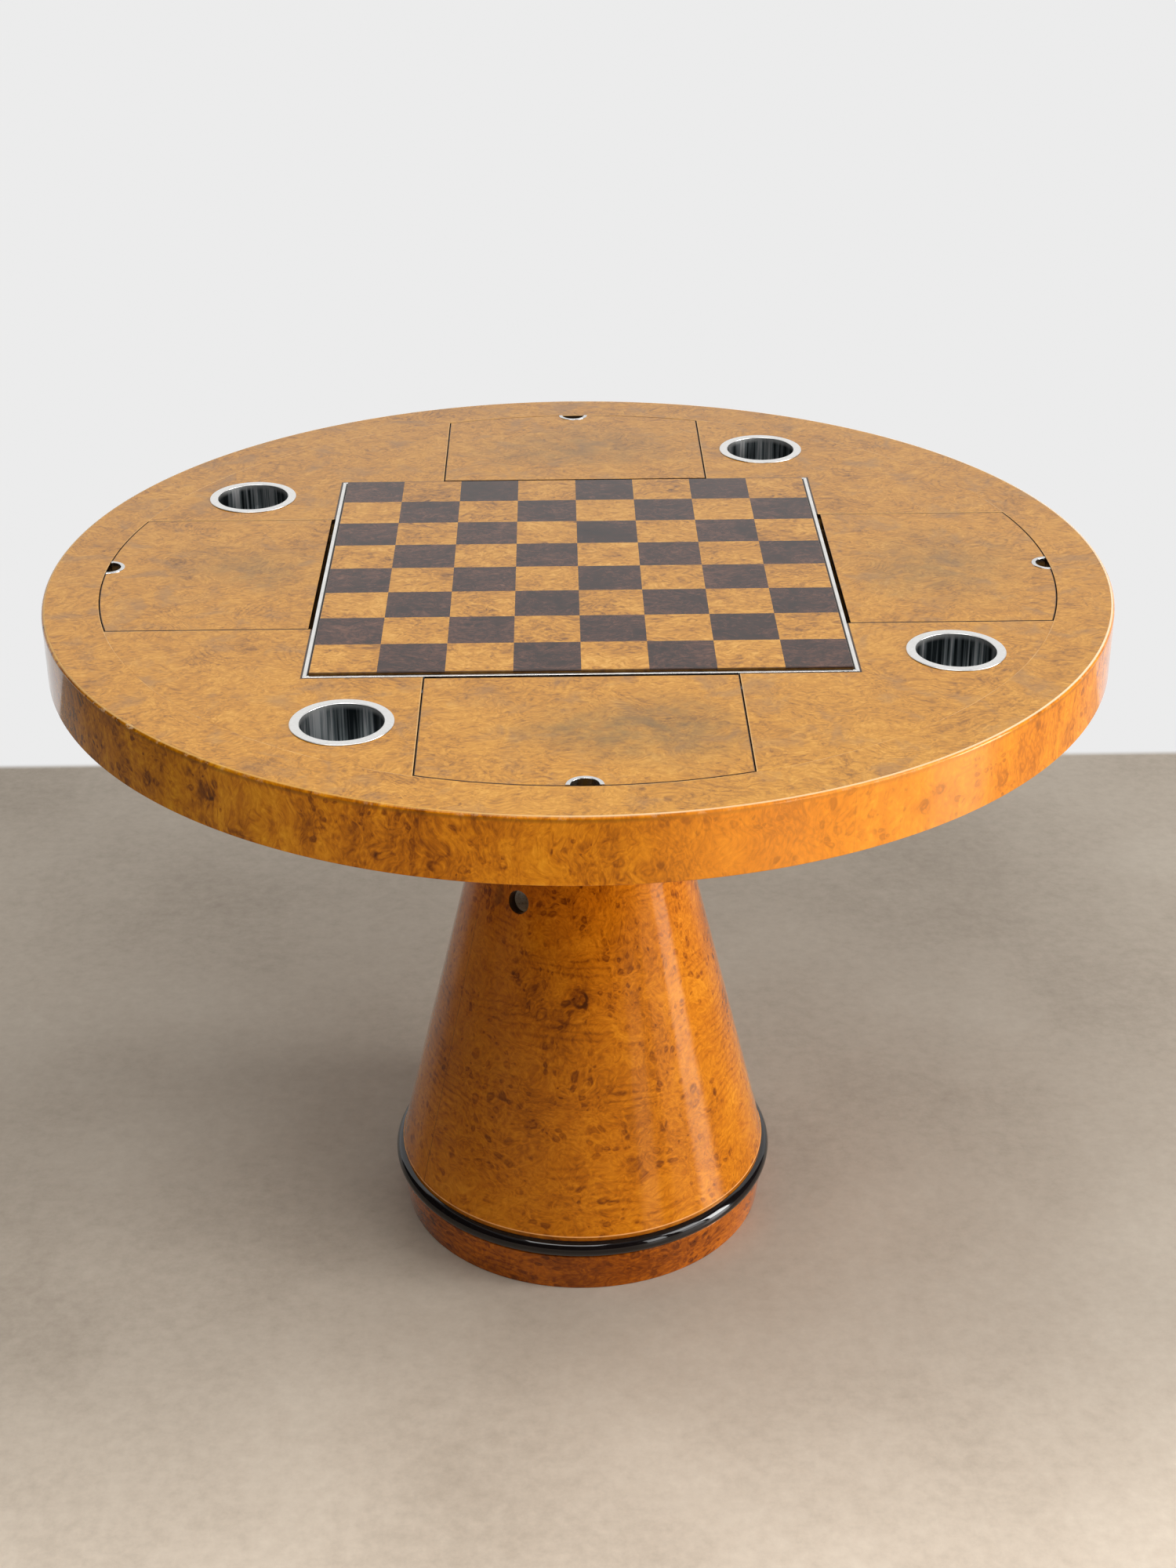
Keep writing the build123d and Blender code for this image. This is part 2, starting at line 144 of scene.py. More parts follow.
def finished(obj, body, material, replaced):
    """Gives a new piece its material, its shading and its body, and hides the CAD nodes that it stands for.
    """
    bpy.context.scene.collection.objects.link(obj)
    obj.data.materials.append(material)
    obj.data.polygons.foreach_set("use_smooth", [True] * len(obj.data.polygons))
    obj.data.set_sharp_from_angle(angle=SHARP)
    weighted = obj.modifiers.new("flat_faces_stay_flat", "WEIGHTED_NORMAL")
    weighted.keep_sharp = True
    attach(obj, body)
    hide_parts(*replaced)


def from_bmesh(name, shape):
    """Object of a bmesh's shape, with its faces turned outwards."""
    bmesh.ops.recalc_face_normals(shape, faces=shape.faces)
    mesh = bpy.data.meshes.new(name)
    shape.to_mesh(mesh)
    shape.free()
    return bpy.data.objects.new(name, mesh)


def rounded(corners):
    """Closed outline through corners (a, b, radius), with each corner of some radius as an arc."""
    outline = []
    for i, (a, b, radius) in enumerate(corners):
        here = Vector((a, b))
        if radius == 0:
            outline.append(here)
            continue
        back = (Vector(corners[i - 1][:2]) - here).normalized()
        ahead = (Vector(corners[(i + 1) % len(corners)][:2]) - here).normalized()
        half_angle = back.angle(ahead) / 2
        centre = here + (back + ahead).normalized() * radius / sin(half_angle)
        start = here + back * radius / tan(half_angle) - centre
        end = here + ahead * radius / tan(half_angle) - centre
        sweep = start.angle_signed(end)
        for step in range(FILLET_STEPS + 1):
            turn = Matrix.Rotation(-sweep * step / FILLET_STEPS, 2)
            outline.append(centre + turn @ start)
    return outline


def lathe(name, outline, middle=(0, 0), start=0, sweep=2 * pi, turns=TURNS):
    """Solid made by turning a closed outline of (radius, height) points about an upright axis."""
    shape = bmesh.new()
    whole = sweep == 2 * pi
    rings = turns if whole else turns + 1
    rows = []
    for i in range(rings):
        angle = start + sweep * i / turns
        x_way, y_way = cos(angle), sin(angle)
        rows.append([
            shape.verts.new((middle[0] + r * x_way, middle[1] + r * y_way, z)) for r, z in outline
        ])
    count = len(outline)
    for i in range(turns):
        here, ahead = rows[i], rows[(i + 1) % rings]
        for j in range(count):
            k = (j + 1) % count
            on_axis = outline[j][0] == outline[k][0] == 0
            if not on_axis:
                shape.faces.new((here[j], ahead[j], ahead[k], here[k]))
    if not whole:
        shape.faces.new(rows[0])
        shape.faces.new(list(reversed(rows[-1])))
    bmesh.ops.remove_doubles(shape, verts=shape.verts, dist=LATHE_MERGE)
    bmesh.ops.dissolve_degenerate(shape, dist=LATHE_MERGE, edges=shape.edges)
    return from_bmesh(name, shape)


def plate(name, outlines, low_z, high_z, ease):
    """Flat plate with eased edges. The first outline is its rim, and the others are holes."""
    curve = bpy.data.curves.new(name, "CURVE")
    curve.dimensions = "2D"
    curve.fill_mode = "BOTH"
    curve.extrude = (high_z - low_z) / 2 - ease
    curve.bevel_depth = ease
    curve.bevel_resolution = 2
    curve.offset = -ease
    for outline in outlines:
        spline = curve.splines.new("POLY")
        spline.points.add(len(outline) - 1)
        for point, (x, y) in zip(spline.points, outline):
            point.co = (x, y, 0, 1)
        spline.use_cyclic_u = True
    holder = bpy.data.objects.new(name, curve)
    bpy.context.scene.collection.objects.link(holder)
    bpy.context.view_layer.update()
    mesh = bpy.data.meshes.new_from_object(holder.evaluated_get(bpy.context.evaluated_depsgraph_get()))
    bpy.data.objects.remove(holder)
    bpy.data.curves.remove(curve)
    shape = bmesh.new()
    shape.from_mesh(mesh)
    bpy.data.meshes.remove(mesh)
    bmesh.ops.remove_doubles(shape, verts=shape.verts, dist=PLATE_MERGE)
    bmesh.ops.translate(shape, verts=shape.verts, vec=(0, 0, (low_z + high_z) / 2))
    return from_bmesh(name, shape)


def grid_solid(shape, tops, low_z):
    """Adds a closed solid to a bmesh: a grid of top points, upright sides and a flat bottom."""
    rows, columns = len(tops), len(tops[0])
    high = [[shape.verts.new(point) for point in row] for row in tops]
    low = [[shape.verts.new((point[0], point[1], low_z)) for point in row] for row in tops]
    for i in range(rows - 1):
        for j in range(columns - 1):
            shape.faces.new((high[i][j], high[i][j + 1], high[i + 1][j + 1], high[i + 1][j]))
            shape.faces.new((low[i][j], low[i + 1][j], low[i + 1][j + 1], low[i][j + 1]))
    rim = [(0, j) for j in range(columns)] + [(i, columns - 1) for i in range(1, rows)]
    rim += [(rows - 1, j) for j in range(columns - 2, -1, -1)] + [(i, 0) for i in range(rows - 2, 0, -1)]
    for (i, j), (k, m) in zip(rim, rim[1:] + rim[:1]):
        shape.faces.new((high[i][j], low[i][j], low[k][m], high[k][m]))


def turned_points(outline, angle):
    """Outline points turned about the table's axis by an angle in degrees."""
    turn = Matrix.Rotation(radians(angle), 2)
    return [tuple(turn @ Vector(point)) for point in outline]


def arc(radius, start, end, middle=(0, 0), step=ARC_STEP):
    """Points on an arc from one angle to another, both included."""
    count = max(2, round(abs(end - start) / step))
    angles = [start + (end - start) * i / count for i in range(count + 1)]
    return [(middle[0] + radius * cos(a), middle[1] + radius * sin(a)) for a in angles]


# ---- Material making ----

class Graph:
    """A material's node tree, with one short call for each kind of node that the finishes use."""

    def __init__(self, name):
        self.material = bpy.data.materials.new(name)
        self.material.use_nodes = True
        self.tree = self.material.node_tree
        self.tree.nodes.clear()

    def put(self, kind, inputs=(), **settings):
        """Adds a node. Inputs are (socket name or number, value or output socket) pairs."""
        node = self.tree.nodes.new("ShaderNode" + kind)
        for key, value in settings.items():
            setattr(node, key, value)
        for key, value in inputs:
            if isinstance(value, bpy.types.NodeSocket):
                self.tree.links.new(value, node.inputs[key])
            else:
                node.inputs[key].default_value = value
        return node

    def place(self):
        """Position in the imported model's frame, which moves with the piece."""
        return self.put("TexCoord").outputs["Object"]

    def math(self, operation, a, b=0.0):
        return self.put("Math", [(0, a), (1, b)], operation=operation).outputs[0]

    def less(self, a, b):
        return self.math("SUBTRACT", a, b)

    def total(self, first, *rest):
        """Sum of sockets and numbers."""
        for value in rest:
            first = self.math("ADD", first, value)
        return first

    def product(self, first, *rest):
        """Product of sockets and numbers."""
        for value in rest:
            first = self.math("MULTIPLY", first, value)
        return first

    def gap(self, value, level):
        """How far a value is from a level, either way."""
        return self.math("ABSOLUTE", self.less(value, level))

    def vector(self, operation, a, b):
        return self.put("VectorMath", [(0, a), (1, b)], operation=operation).outputs[0]

    def length(self, vector):
        return self.put("VectorMath", [(0, vector)], operation="LENGTH").outputs["Value"]

    def axes(self, vector):
        """The three components of a vector."""
        return self.put("SeparateXYZ", [(0, vector)]).outputs

    def joined(self, x, y, z=0.0):
        return self.put("CombineXYZ", [(0, x), (1, y), (2, z)]).outputs[0]

    def noise(self, place, scale, detail=2.0, roughness=0.5, distortion=0.0, output=0):
        """Noise from 0 to 1. Output 1 is its colour, which is three noises at once."""
        return self.put("TexNoise", [
            ("Vector", place), ("Scale", scale), ("Detail", detail),
            ("Roughness", roughness), ("Distortion", distortion),
        ]).outputs[output]

    def cells(self, place, scale, feature="F1"):
        return self.put("TexVoronoi", [("Vector", place), ("Scale", scale)], feature=feature).outputs

    def span(self, value, low, high, to_low=0.0, to_high=1.0):
        """Smooth step of a value from one range to another."""
        return self.put("MapRange", [
            ("Value", value), ("From Min", low), ("From Max", high), ("To Min", to_low), ("To Max", to_high),
        ], interpolation_type="SMOOTHSTEP").outputs[0]

    def band(self, value, low, high, soft):
        """1 where a value lies between two levels, with soft edges."""
        return self.product(
            self.span(value, low - soft, low + soft), self.span(value, high - soft, high + soft, 1.0, 0.0),
        )

    def ramp(self, value, stops):
        """Colour ramp with stops of (position, colour)."""
        node = self.put("ValToRGB", [(0, value)])
        elements = node.color_ramp.elements
        while len(elements) < len(stops):
            elements.new(1.0)
        for element, (position, colour) in zip(elements, stops):
            element.position = position
            element.color = (*colour, 1.0)
        return node.outputs[0]

    def mix(self, factor, a, b, blend="MIX"):
        """Colour mix."""
        a, b = [(*c, 1.0) if isinstance(c, tuple) and len(c) == 3 else c for c in (a, b)]
        return self.put("Mix", [(0, factor), (6, a), (7, b)], data_type="RGBA", blend_type=blend).outputs[2]

    def bump(self, height, depth, strength=1.0):
        """Normal for a height from 0 to 1 that stands for a depth in metres."""
        return self.put("Bump", [("Strength", strength), ("Distance", depth), ("Height", height)]).outputs[0]

    def surface(self, **sockets):
        """Finishes the material with a Principled shader. Names use _ for a space."""
        named = [(key.replace("_", " "), value) for key, value in sockets.items()]
        shader = self.put("BsdfPrincipled", named)
        self.put("OutputMaterial", [("Surface", shader.outputs[0])])
        return self.material


# ---- Burl ----

# Sizes of burl's features, in cells a metre
CLOUD, CURL, WISP, PORE = 10, 40, 105, 330
FLOW, EYE, RING, NET = 8, 98, 48, 130

# Colours of the top's faded honey veneer and of the deep amber one, from darkest to palest
TOP_STOPS = [
    (0.0, (0.17, 0.066, 0.010)), (0.26, (0.42, 0.175, 0.022)), (0.46, (0.61, 0.262, 0.028)),
    (0.6, (0.70, 0.32, 0.038)), (0.8, (0.82, 0.41, 0.07)), (1.0, (0.9, 0.5, 0.12)),
]
DEEP_STOPS = [
    (0.0, (0.085, 0.018, 0.001)), (0.25, (0.27, 0.066, 0.002)), (0.46, (0.56, 0.165, 0.003)),
    (0.6, (0.70, 0.235, 0.006)), (0.8, (0.86, 0.36, 0.018)), (1.0, (0.95, 0.48, 0.05)),
]
DARK_STOPS = [
    (0.0, (0.014, 0.007, 0.005)), (0.36, (0.040, 0.018, 0.013)), (0.55, (0.074, 0.030, 0.020)),
    (0.75, (0.13, 0.055, 0.034)), (1.0, (0.22, 0.10, 0.06)),
]
# Painted shade in the gaps at the panels' rims and down their sides, and a painted highlight along the
# panels' edges
GAP_SHADE = (0.03, 0.014, 0.007)
SIDE_SHADE = (0.018, 0.009, 0.005)
EDGE_HIGHLIGHT = (0.95, 0.62, 0.27)
MOTTLE = (0.36, 0.19, 0.075)
SMUDGE = (0.2, 0.13, 0.05)

# Tint of what the old lacquer reflects where it is looked at straight
AMBER = (1.0, 0.8, 0.5, 1.0)


def bent(g, place, scale, amount):
    """Position pushed about by noise, so that what is drawn on it swirls."""
    push = g.vector("SUBTRACT", g.noise(place, scale, output=1), (0.5, 0.5, 0.5))
    return g.vector("ADD", place, g.vector("MULTIPLY", push, (amount, amount, amount)))


def burl_tone(g, place, stretch, eyes=1.0, lines=1.0, flecks=1.0, clouds=1.0, crowd=0.5):
    """Tone of burl veneer, about 0.5 on plain wood. Eyes, lines, flecks and clouds say how strong
    each is, and a lower crowd gives more eyes."""
    swirled = bent(g, bent(g, place, 13, 0.045), 55, 0.008)
    stretched = g.vector("MULTIPLY", swirled, stretch)
    cloud = g.less(g.noise(swirled, CLOUD, 3, 0.55), 0.5)
    curl = g.less(g.noise(stretched, CURL, 3, 0.6, 1.4), 0.5)
    wisp = g.less(g.noise(stretched, WISP, 3, 0.6, 2.4), 0.5)
    pore = g.less(g.noise(stretched, PORE, 3, 0.65, 0.4), 0.5)

    # Flowing lines follow the level curves of a slow noise, and show only in some places
    level = g.noise(stretched, FLOW, 1.5, 0.5, 0.4)
    wave = g.math("PINGPONG", g.product(level, 42), 0.5)
    line = g.product(g.span(wave, 0.0, 0.3, 1.0, 0.0), g.span(g.noise(place, 12), 0.44, 0.62))

    # Eyes are small ringed dots of differing sizes in clusters, on a darker ground with a paler net
    cluster = g.span(g.noise(swirled, 15, 2.5, 0.55), crowd - 0.07, crowd + 0.06)
    cell = g.cells(swirled, EYE)
    own_size, own_strength, _ = g.axes(cell["Color"])
    away = g.math("DIVIDE", cell["Distance"], g.span(own_size, 0.0, 1.0, 0.1, 0.5))
    eye = g.total(g.span(away, 0.3, 1.2, 0.7, 0.0), g.span(g.gap(away, 0.75), 0.0, 0.4, 0.5, 0.0))
    eye = g.product(eye, g.span(own_strength, 0.0, 0.5, 0.3, 1.0), cluster)
    cell = g.cells(swirled, RING)
    ring = g.span(g.gap(cell["Distance"], 0.22), 0.0, 0.09, 1.0, 0.0)
    ring = g.product(ring, g.span(g.axes(cell["Color"])[0], 0.6, 0.7))
    net = g.cells(swirled, NET, "DISTANCE_TO_EDGE")["Distance"]
    net = g.product(g.span(net, 0.0, 0.3, 1.0, 0.0), cluster)

    return g.total(
        0.5,
        g.product(cloud, 0.5 * clouds),
        g.product(curl, 0.4 * flecks),
        g.product(wisp, 0.65 * flecks),
        g.product(pore, 0.3 * flecks),
        g.product(line, -0.1 * lines),
        g.product(eye, -0.34 * eyes),
        g.product(ring, -0.14 * eyes),
        g.product(net, 0.09 * eyes),
        g.product(cluster, -0.05 * eyes),
    )


def knots(g, place, spots):
    """Darkness of ringed knots at chosen (across, along, radius, strength) places."""
    swirled = bent(g, place, 60, 0.006)
    marks = []
    for across, along, radius, strength in spots:
        gap = g.vector("SUBTRACT", swirled, (across, along, 0.0))
        away = g.math("DIVIDE", g.length(gap), radius)
        right, up, _ = g.axes(g.vector("DIVIDE", gap, (radius, radius, radius)))
        shaded = g.span(g.less(right, up), -0.8, 0.9, 0.35, 1.3)
        ring = g.product(g.span(g.gap(away, 0.72), 0.0, 0.3, 1.0, 0.0), shaded, 0.6)
        core, halo = g.span(away, 0.0, 0.9, 0.1, 0.0), g.span(away, 0.6, 1.9, 0.4, 0.0)
        marks.append(g.product(g.total(ring, core, halo), strength))
    return g.total(*marks)


# ---- Veneers of the top ----

# Where each part's sheet of veneer was cut from, and how far below its face the painted shade on its sides
# starts
SHEET_OFFSET = {"field": (0.0, 0.0, 0.0), "border": (2.3, 0.7, 0.0), "lid": (0.0, 0.0, 0.0)}
SIDE_SHADE_DEPTH = {"field": 0.2 * MM, "border": 0.3 * MM, "lid": 0.02 * MM}


def rim_marks(g, part, place, x, y):
    """Marks along a panel's rims as (strength, colour): painted shade darkens the lids' rims and the field's
    rim at the frame, and a painted highlight shows pale at the field's and the border's other rims."""
    radius = g.length(place)
    across_x, across_y = g.math("ABSOLUTE", x), g.math("ABSOLUTE", y)
    least, most = g.math("MINIMUM", across_x, across_y), g.math("MAXIMUM", across_x, across_y)
    if part == "border":
        broken = g.span(g.noise(place, 16, 3), 0.35, 0.6)
        # Painted highlight: a broken pale line along the border's rim at the field
        lit_edge = g.product(g.span(radius, FIELD_R + 0.3 * MM, FIELD_R + 1.3 * MM, 0.45, 0.0), broken)
        return [(lit_edge, EDGE_HIGHLIGHT)]
    if part == "field":
        # Painted highlight along the field's rims at the lids, and painted shade along its rim at the frame
        lit_edge = g.span(least, TRAY_HALF + 0.6 * MM, TRAY_HALF + 1.2 * MM, 0.45, 0.0)
        shade_and_grime = g.span(most, TRIM_OUTER + 1.5 * MM, TRIM_OUTER + 2.2 * MM, 0.95, 0.0)
        return [(lit_edge, EDGE_HIGHLIGHT), (shade_and_grime, GAP_SHADE)]
    # Painted shade in the gaps along the lid's straight sides and its curved edge
    side_gap_shade = g.span(least, LID_HALF - 1.0 * MM, LID_HALF - 0.6 * MM, 0.0, 0.9)
    arc_gap_shade = g.span(radius, LID_R - 1.0 * MM, LID_R - 0.6 * MM, 0.0, 0.8)
    return [(g.math("MAXIMUM", side_gap_shade, arc_gap_shade), GAP_SHADE)]


def smudge_mark(g, place, smudge):
    """Strength of a grey patch, where hands have rubbed, given as (x, y, width, depth, strength)."""
    x, y, wide, deep, strength = smudge
    near = g.vector("SUBTRACT", bent(g, place, 9, 0.1), (x, y, 0))
    away = g.length(g.vector("DIVIDE", near, (wide, deep, 1)))
    mottled = g.span(g.noise(place, 45, 3, 0.6), 0.3, 0.7, 0.3, 0.8)
    return g.product(g.span(away, 0.1, 1.1, 1.0, 0.0), mottled, strength)


def side_shade_mask(g, part):
    """Painted shade down a panel's sides, strongest near the face, which leaves its underside plain."""
    depth, start, thick = g.less(TOP_Z, g.axes(g.place())[2]), SIDE_SHADE_DEPTH[part], TOP_Z - PANEL_Z
    return g.product(
        g.span(depth, start, start + 0.25 * MM), g.span(depth, 4 * MM, 8 * MM, 1.0, 0.7),
        g.span(depth, thick - 0.7 * MM, thick - 0.2 * MM, 1.0, 0.0),
    )


def top_veneer(name, part, spots, smudge=None):
    """Worn honey burl of a part of the top (field, border or lid), with knots and smudges, and with
    painted shade and highlights along its rims and painted shade down its sides.
    """
    g = Graph(name)
    x, y, _ = g.axes(g.place())
    place = g.joined(x, y)
    sheet = g.vector("ADD", place, SHEET_OFFSET[part])
    tone = burl_tone(g, sheet, (0.75, 1.0, 1.0), eyes=0.4, lines=1.4, flecks=1.4, clouds=0.7)
    colour = g.ramp(g.less(tone, g.product(knots(g, place, spots), 0.42)), TOP_STOPS)
    mottle = g.span(g.noise(bent(g, sheet, 20, 0.02), 22, 3, 0.6, 0.6), 0.5, 0.74, 0.0, 0.55)
    marks = [(mottle, MOTTLE)]
    if smudge:
        marks.append((smudge_mark(g, place, smudge), SMUDGE))
    # The rims get painted shade and painted highlights, and the sides get painted shade
    marks += rim_marks(g, part, place, x, y) + [(side_shade_mask(g, part), SIDE_SHADE)]
    for strength, tint in marks:
        colour = g.mix(strength, colour, tint)
    grain = g.noise(g.vector("MULTIPLY", place, (0.6, 1, 1)), 260, 3)
    return g.surface(
        Base_Color=colour, Roughness=g.span(g.noise(place, 60, 4, 0.65), 0.3, 0.75, 0.1, 0.24), IOR=1.37,
        Normal=g.bump(grain, 0.05 * MM, 0.35),
    )


def square_veneer(name, stops, eyes):
    """Veneer of the board's squares: each has its own piece of wood."""
    g = Graph(name)
    x, y, _ = g.axes(g.place())
    column = g.math("FLOOR", g.math("DIVIDE", x, SQUARE))
    row = g.math("FLOOR", g.math("DIVIDE", y, SQUARE))
    own = g.put("TexWhiteNoise", [("Vector", g.joined(column, row))], noise_dimensions="2D").outputs
    place = g.vector("ADD", g.joined(x, y), g.vector("MULTIPLY", own["Color"], (3, 3, 3)))
    tone = burl_tone(g, place, (0.6, 1.0, 1.0), eyes=eyes, lines=0.6, flecks=1.9, clouds=1.5)
    tone = g.total(tone, g.product(g.less(own["Value"], 0.5), 0.1))
    rim = g.math("MAXIMUM", g.math("ABSOLUTE", x), g.math("ABSOLUTE", y))
    # Painted shade: a dark line along the board's rounded outer edge, where it meets the frame
    shade_and_grime = g.span(rim, BOARD_HALF - 0.9 * MM, BOARD_HALF - 0.5 * MM, 0.0, 0.85)
    return g.surface(
        Base_Color=g.mix(shade_and_grime, g.ramp(tone, stops), GAP_SHADE), IOR=1.38,
        Roughness=g.span(g.noise(place, 60, 3), 0.3, 0.75, 0.1, 0.22),
        Normal=g.bump(g.noise(place, 240, 3), 0.04 * MM, 0.35),
    )


# ---- Veneers of the apron and the pedestal ----

# Angles here are in radians from the front, towards the right
APRON_JOINTS = (-0.94, 0.44, 1.9, -2.2)
APRON_SPOTS = [
    (0.305, TOP_Z - 0.038, 0.006, 0.8), (0.322, TOP_Z - 0.028, 0.006, 0.8),
    (0.405, TOP_Z - 0.045, 0.009, 0.5), (-0.345, TOP_Z - 0.03, 0.009, 0.6),
    (-0.43, TOP_Z - 0.045, 0.008, 0.5), (0.05, TOP_Z - 0.05, 0.008, 0.3),
    (-0.12, TOP_Z - 0.035, 0.010, 0.3), (0.53, TOP_Z - 0.04, 0.007, 0.5),
]
PEDESTAL_JOINT = -1.05
PEDESTAL_R, BEAD_R = 0.16, 0.21
PEDESTAL_SPOTS = [
    (-0.004, 0.33, 0.012, 0.9), (-0.085, 0.345, 0.005, 0.6), (-0.022, 0.31, 0.01, 0.3),
    (-0.05, 0.19, 0.006, 0.4), (0.07, 0.155, 0.005, 0.4), (0.045, 0.145, 0.01, 0.35),
]


def around_axis(g, radius):
    """Position unrolled about the table's axis (distance round it and height), its angle and height."""
    x, y, z = g.axes(g.place())
    angle = g.math("ARCTAN2", x, g.product(y, -1.0))
    return g.joined(g.product(angle, radius), z), angle, z


def arris_wear_and_highlight(g, angle, drop):
    """Marks near the top's arris as (strength, colour): a darker line under it, and a rubbed edge that is
    partly worn and partly a painted highlight, golden at the left and pale at the right."""
    under = g.product(g.span(drop, 1.6 * MM, 3.0 * MM), g.span(drop, 3.5 * MM, 7 * MM, 1.0, 0.0), 0.5)
    rubbed_and_lit = g.product(g.span(drop, 0.1 * MM, 0.7 * MM, 1.0, 0.0), g.span(angle, -0.4, 0.5, 0.6, 1.0))
    gilt = g.mix(g.span(angle, -0.35, 0.3), (0.85, 0.5, 0.13), (1.0, 0.82, 0.54))
    return [(under, (0.16, 0.055, 0.003)), (rubbed_and_lit, gilt)]


def chipped_arris(g, angle, drop):
    """Strength of chips in the lacquer, mostly in one stretch of the arris at the left."""
    near = g.span(g.gap(drop, 1.2 * MM), 0.0, 2.6 * MM, 1.0, 0.0)
    specks = g.span(g.noise(g.place(), 130, 4, 0.7), 0.55, 0.62)
    return g.product(near, specks, g.span(angle, -1.35, -0.5), g.span(angle, -0.95, -0.6, 1.0, 0.15))


def apron_veneer():
    """Glossy amber burl round the drum, streaked across its height, jointed in a few places, olive
    at the left and with painted light brightening it to orange at the right."""
    g = Graph("apron_veneer")
    place, angle, z = around_axis(g, TOP_R)
    tone = burl_tone(g, place, (1.0, 0.5, 1.0), eyes=0.8, lines=0.9)
    streak = g.noise(g.vector("MULTIPLY", bent(g, place, 8, 0.03), (1.0, 0.14, 1.0)), 38, 3, 0.6)
    streak = g.product(g.less(streak, 0.5), 0.7, g.span(angle, -0.55, 0.1, 1.0, 0.55))
    leaf = g.span(angle, APRON_JOINTS[0] - 0.001, APRON_JOINTS[0], -0.07, -0.02)
    tone = g.less(g.total(tone, streak, leaf), g.product(knots(g, place, APRON_SPOTS), 0.55))
    colour = g.ramp(tone, DEEP_STOPS)
    colour = g.mix(g.span(angle, -0.8, -0.2, 1.0, 0.0), colour, (0.79, 0.92, 0.65), "MULTIPLY")
    drop = g.less(TOP_Z, z)
    joints = g.total(*[g.span(g.gap(angle, joint), 0.0, 0.0014, 0.35, 0.0) for joint in APRON_JOINTS])
    # Painted light: the right side is made brighter and more orange
    lit_side = g.product(g.span(angle, 0.02, 0.25), g.span(angle, 0.5, 1.1, 1.0, 0.4), 0.42)
    marks = [(joints, (0.12, 0.03, 0.002))] + arris_wear_and_highlight(g, angle, drop)
    marks += [(lit_side, (1.0, 0.345, 0.05)), (chipped_arris(g, angle, drop), (0.78, 0.62, 0.4))]
    for strength, tint in marks:
        colour = g.mix(strength, colour, tint)
    return g.surface(
        Base_Color=colour, Roughness=g.span(g.noise(place, 70, 3), 0.3, 0.8, 0.05, 0.14), IOR=1.36,
        Specular_Tint=AMBER, Normal=g.bump(g.noise(place, 22), 0.3 * MM, 0.3),
    )


def socket_wall_shade(g, z):
    """Strength of the painted shade on the wall of the cone's round socket, which lies inside the cone's
    face.
    """
    low_r, high_r = node_radii("cone_shell", COLLAR_Z)[1], node_radii("cone_shell", CONE_TOP_Z)[1]
    x, y, _ = g.axes(g.place())
    rise = g.math("DIVIDE", g.less(z, COLLAR_Z), CONE_TOP_Z - COLLAR_Z)
    face = g.total(low_r, g.product(rise, high_r - low_r))
    sunk = g.span(g.less(face, g.length(g.joined(x, y))), 0.5 * MM, 1.1 * MM, 0.0, 0.95)
    return g.product(sunk, g.span(z, CONE_TOP_Z - 0.3, CONE_TOP_Z - 0.29))


def pedestal_veneer(name, darken=0.0):
    """Glossy orange burl of the pedestal, full of eyes and flowing lines."""
    g = Graph(name)
    place, angle, z = around_axis(g, PEDESTAL_R)
    tone = burl_tone(g, place, (0.8, 1.0, 1.0), eyes=0.68, lines=0.4, flecks=0.85, clouds=1.1, crowd=0.46)
    up = g.axes(bent(g, bent(g, place, 7, 0.035), 28, 0.012))[1]
    wave = g.math("PINGPONG", g.product(up, 120), 0.5)
    sweep = g.noise(g.vector("MULTIPLY", place, (0.5, 1.0, 1.0)), 13)
    flow = g.product(g.span(wave, 0.0, 0.3, 1.0, 0.0), g.span(sweep, 0.48, 0.6), -0.12)
    # Painted light: paler at the left and right sides and slightly paler low down. The tone also darkens
    # towards the top.
    tone = g.total(
        tone, flow, g.span(z, 0.08, 0.3, 0.01, -0.02), g.span(z, 0.4, 0.58, -0.01, -0.1),
        g.span(angle, -0.9, -0.2, 0.06, 0.0), g.span(angle, 0.35, 0.8, 0.0, 0.05), -darken,
    )
    tone = g.less(tone, g.product(knots(g, place, PEDESTAL_SPOTS), 0.5))
    colour = g.ramp(tone, DEEP_STOPS)
    ruddy = g.product(g.span(z, 0.3, 0.55, 0.35, 1.25), g.noise(place, 9, 3))
    colour = g.mix(ruddy, colour, (0.9, 0.62, 0.8), "MULTIPLY")
    if darken:
        colour = g.mix(0.8, colour, (0.95, 0.78, 0.5), "MULTIPLY")

    # The socket's wall gets painted shade, the cone ends in a painted highlight along its lower edge, and
    # the rim of the disc under it is a dark collar above the bead
    below = g.less(COLLAR_Z, z)
    collar = g.product(g.span(below, 0.0, 0.5 * MM), g.span(z, BEAD_Z - 1 * MM, BEAD_Z), 0.5)
    marks = [
        (socket_wall_shade(g, z), (0.02, 0.014, 0.009)),
        (g.span(g.gap(angle, PEDESTAL_JOINT), 0.0, 0.006, 0.6, 0.0), (0.1, 0.03, 0.004)),
        (collar, (0.2, 0.05, 0.002)),
        (g.span(g.math("ABSOLUTE", below), 0.0, 0.9 * MM, 0.8, 0.0), (1.0, 0.55, 0.2)),
    ]
    for strength, tint in marks:
        colour = g.mix(strength, colour, tint)
    return g.surface(
        Base_Color=colour, Roughness=g.span(g.noise(place, 70, 3), 0.3, 0.8, 0.06, 0.14), IOR=1.4,
        Specular_Tint=AMBER, Normal=g.bump(g.noise(place, 30), 0.3 * MM, 0.3),
    )


# ---- Other finishes ----

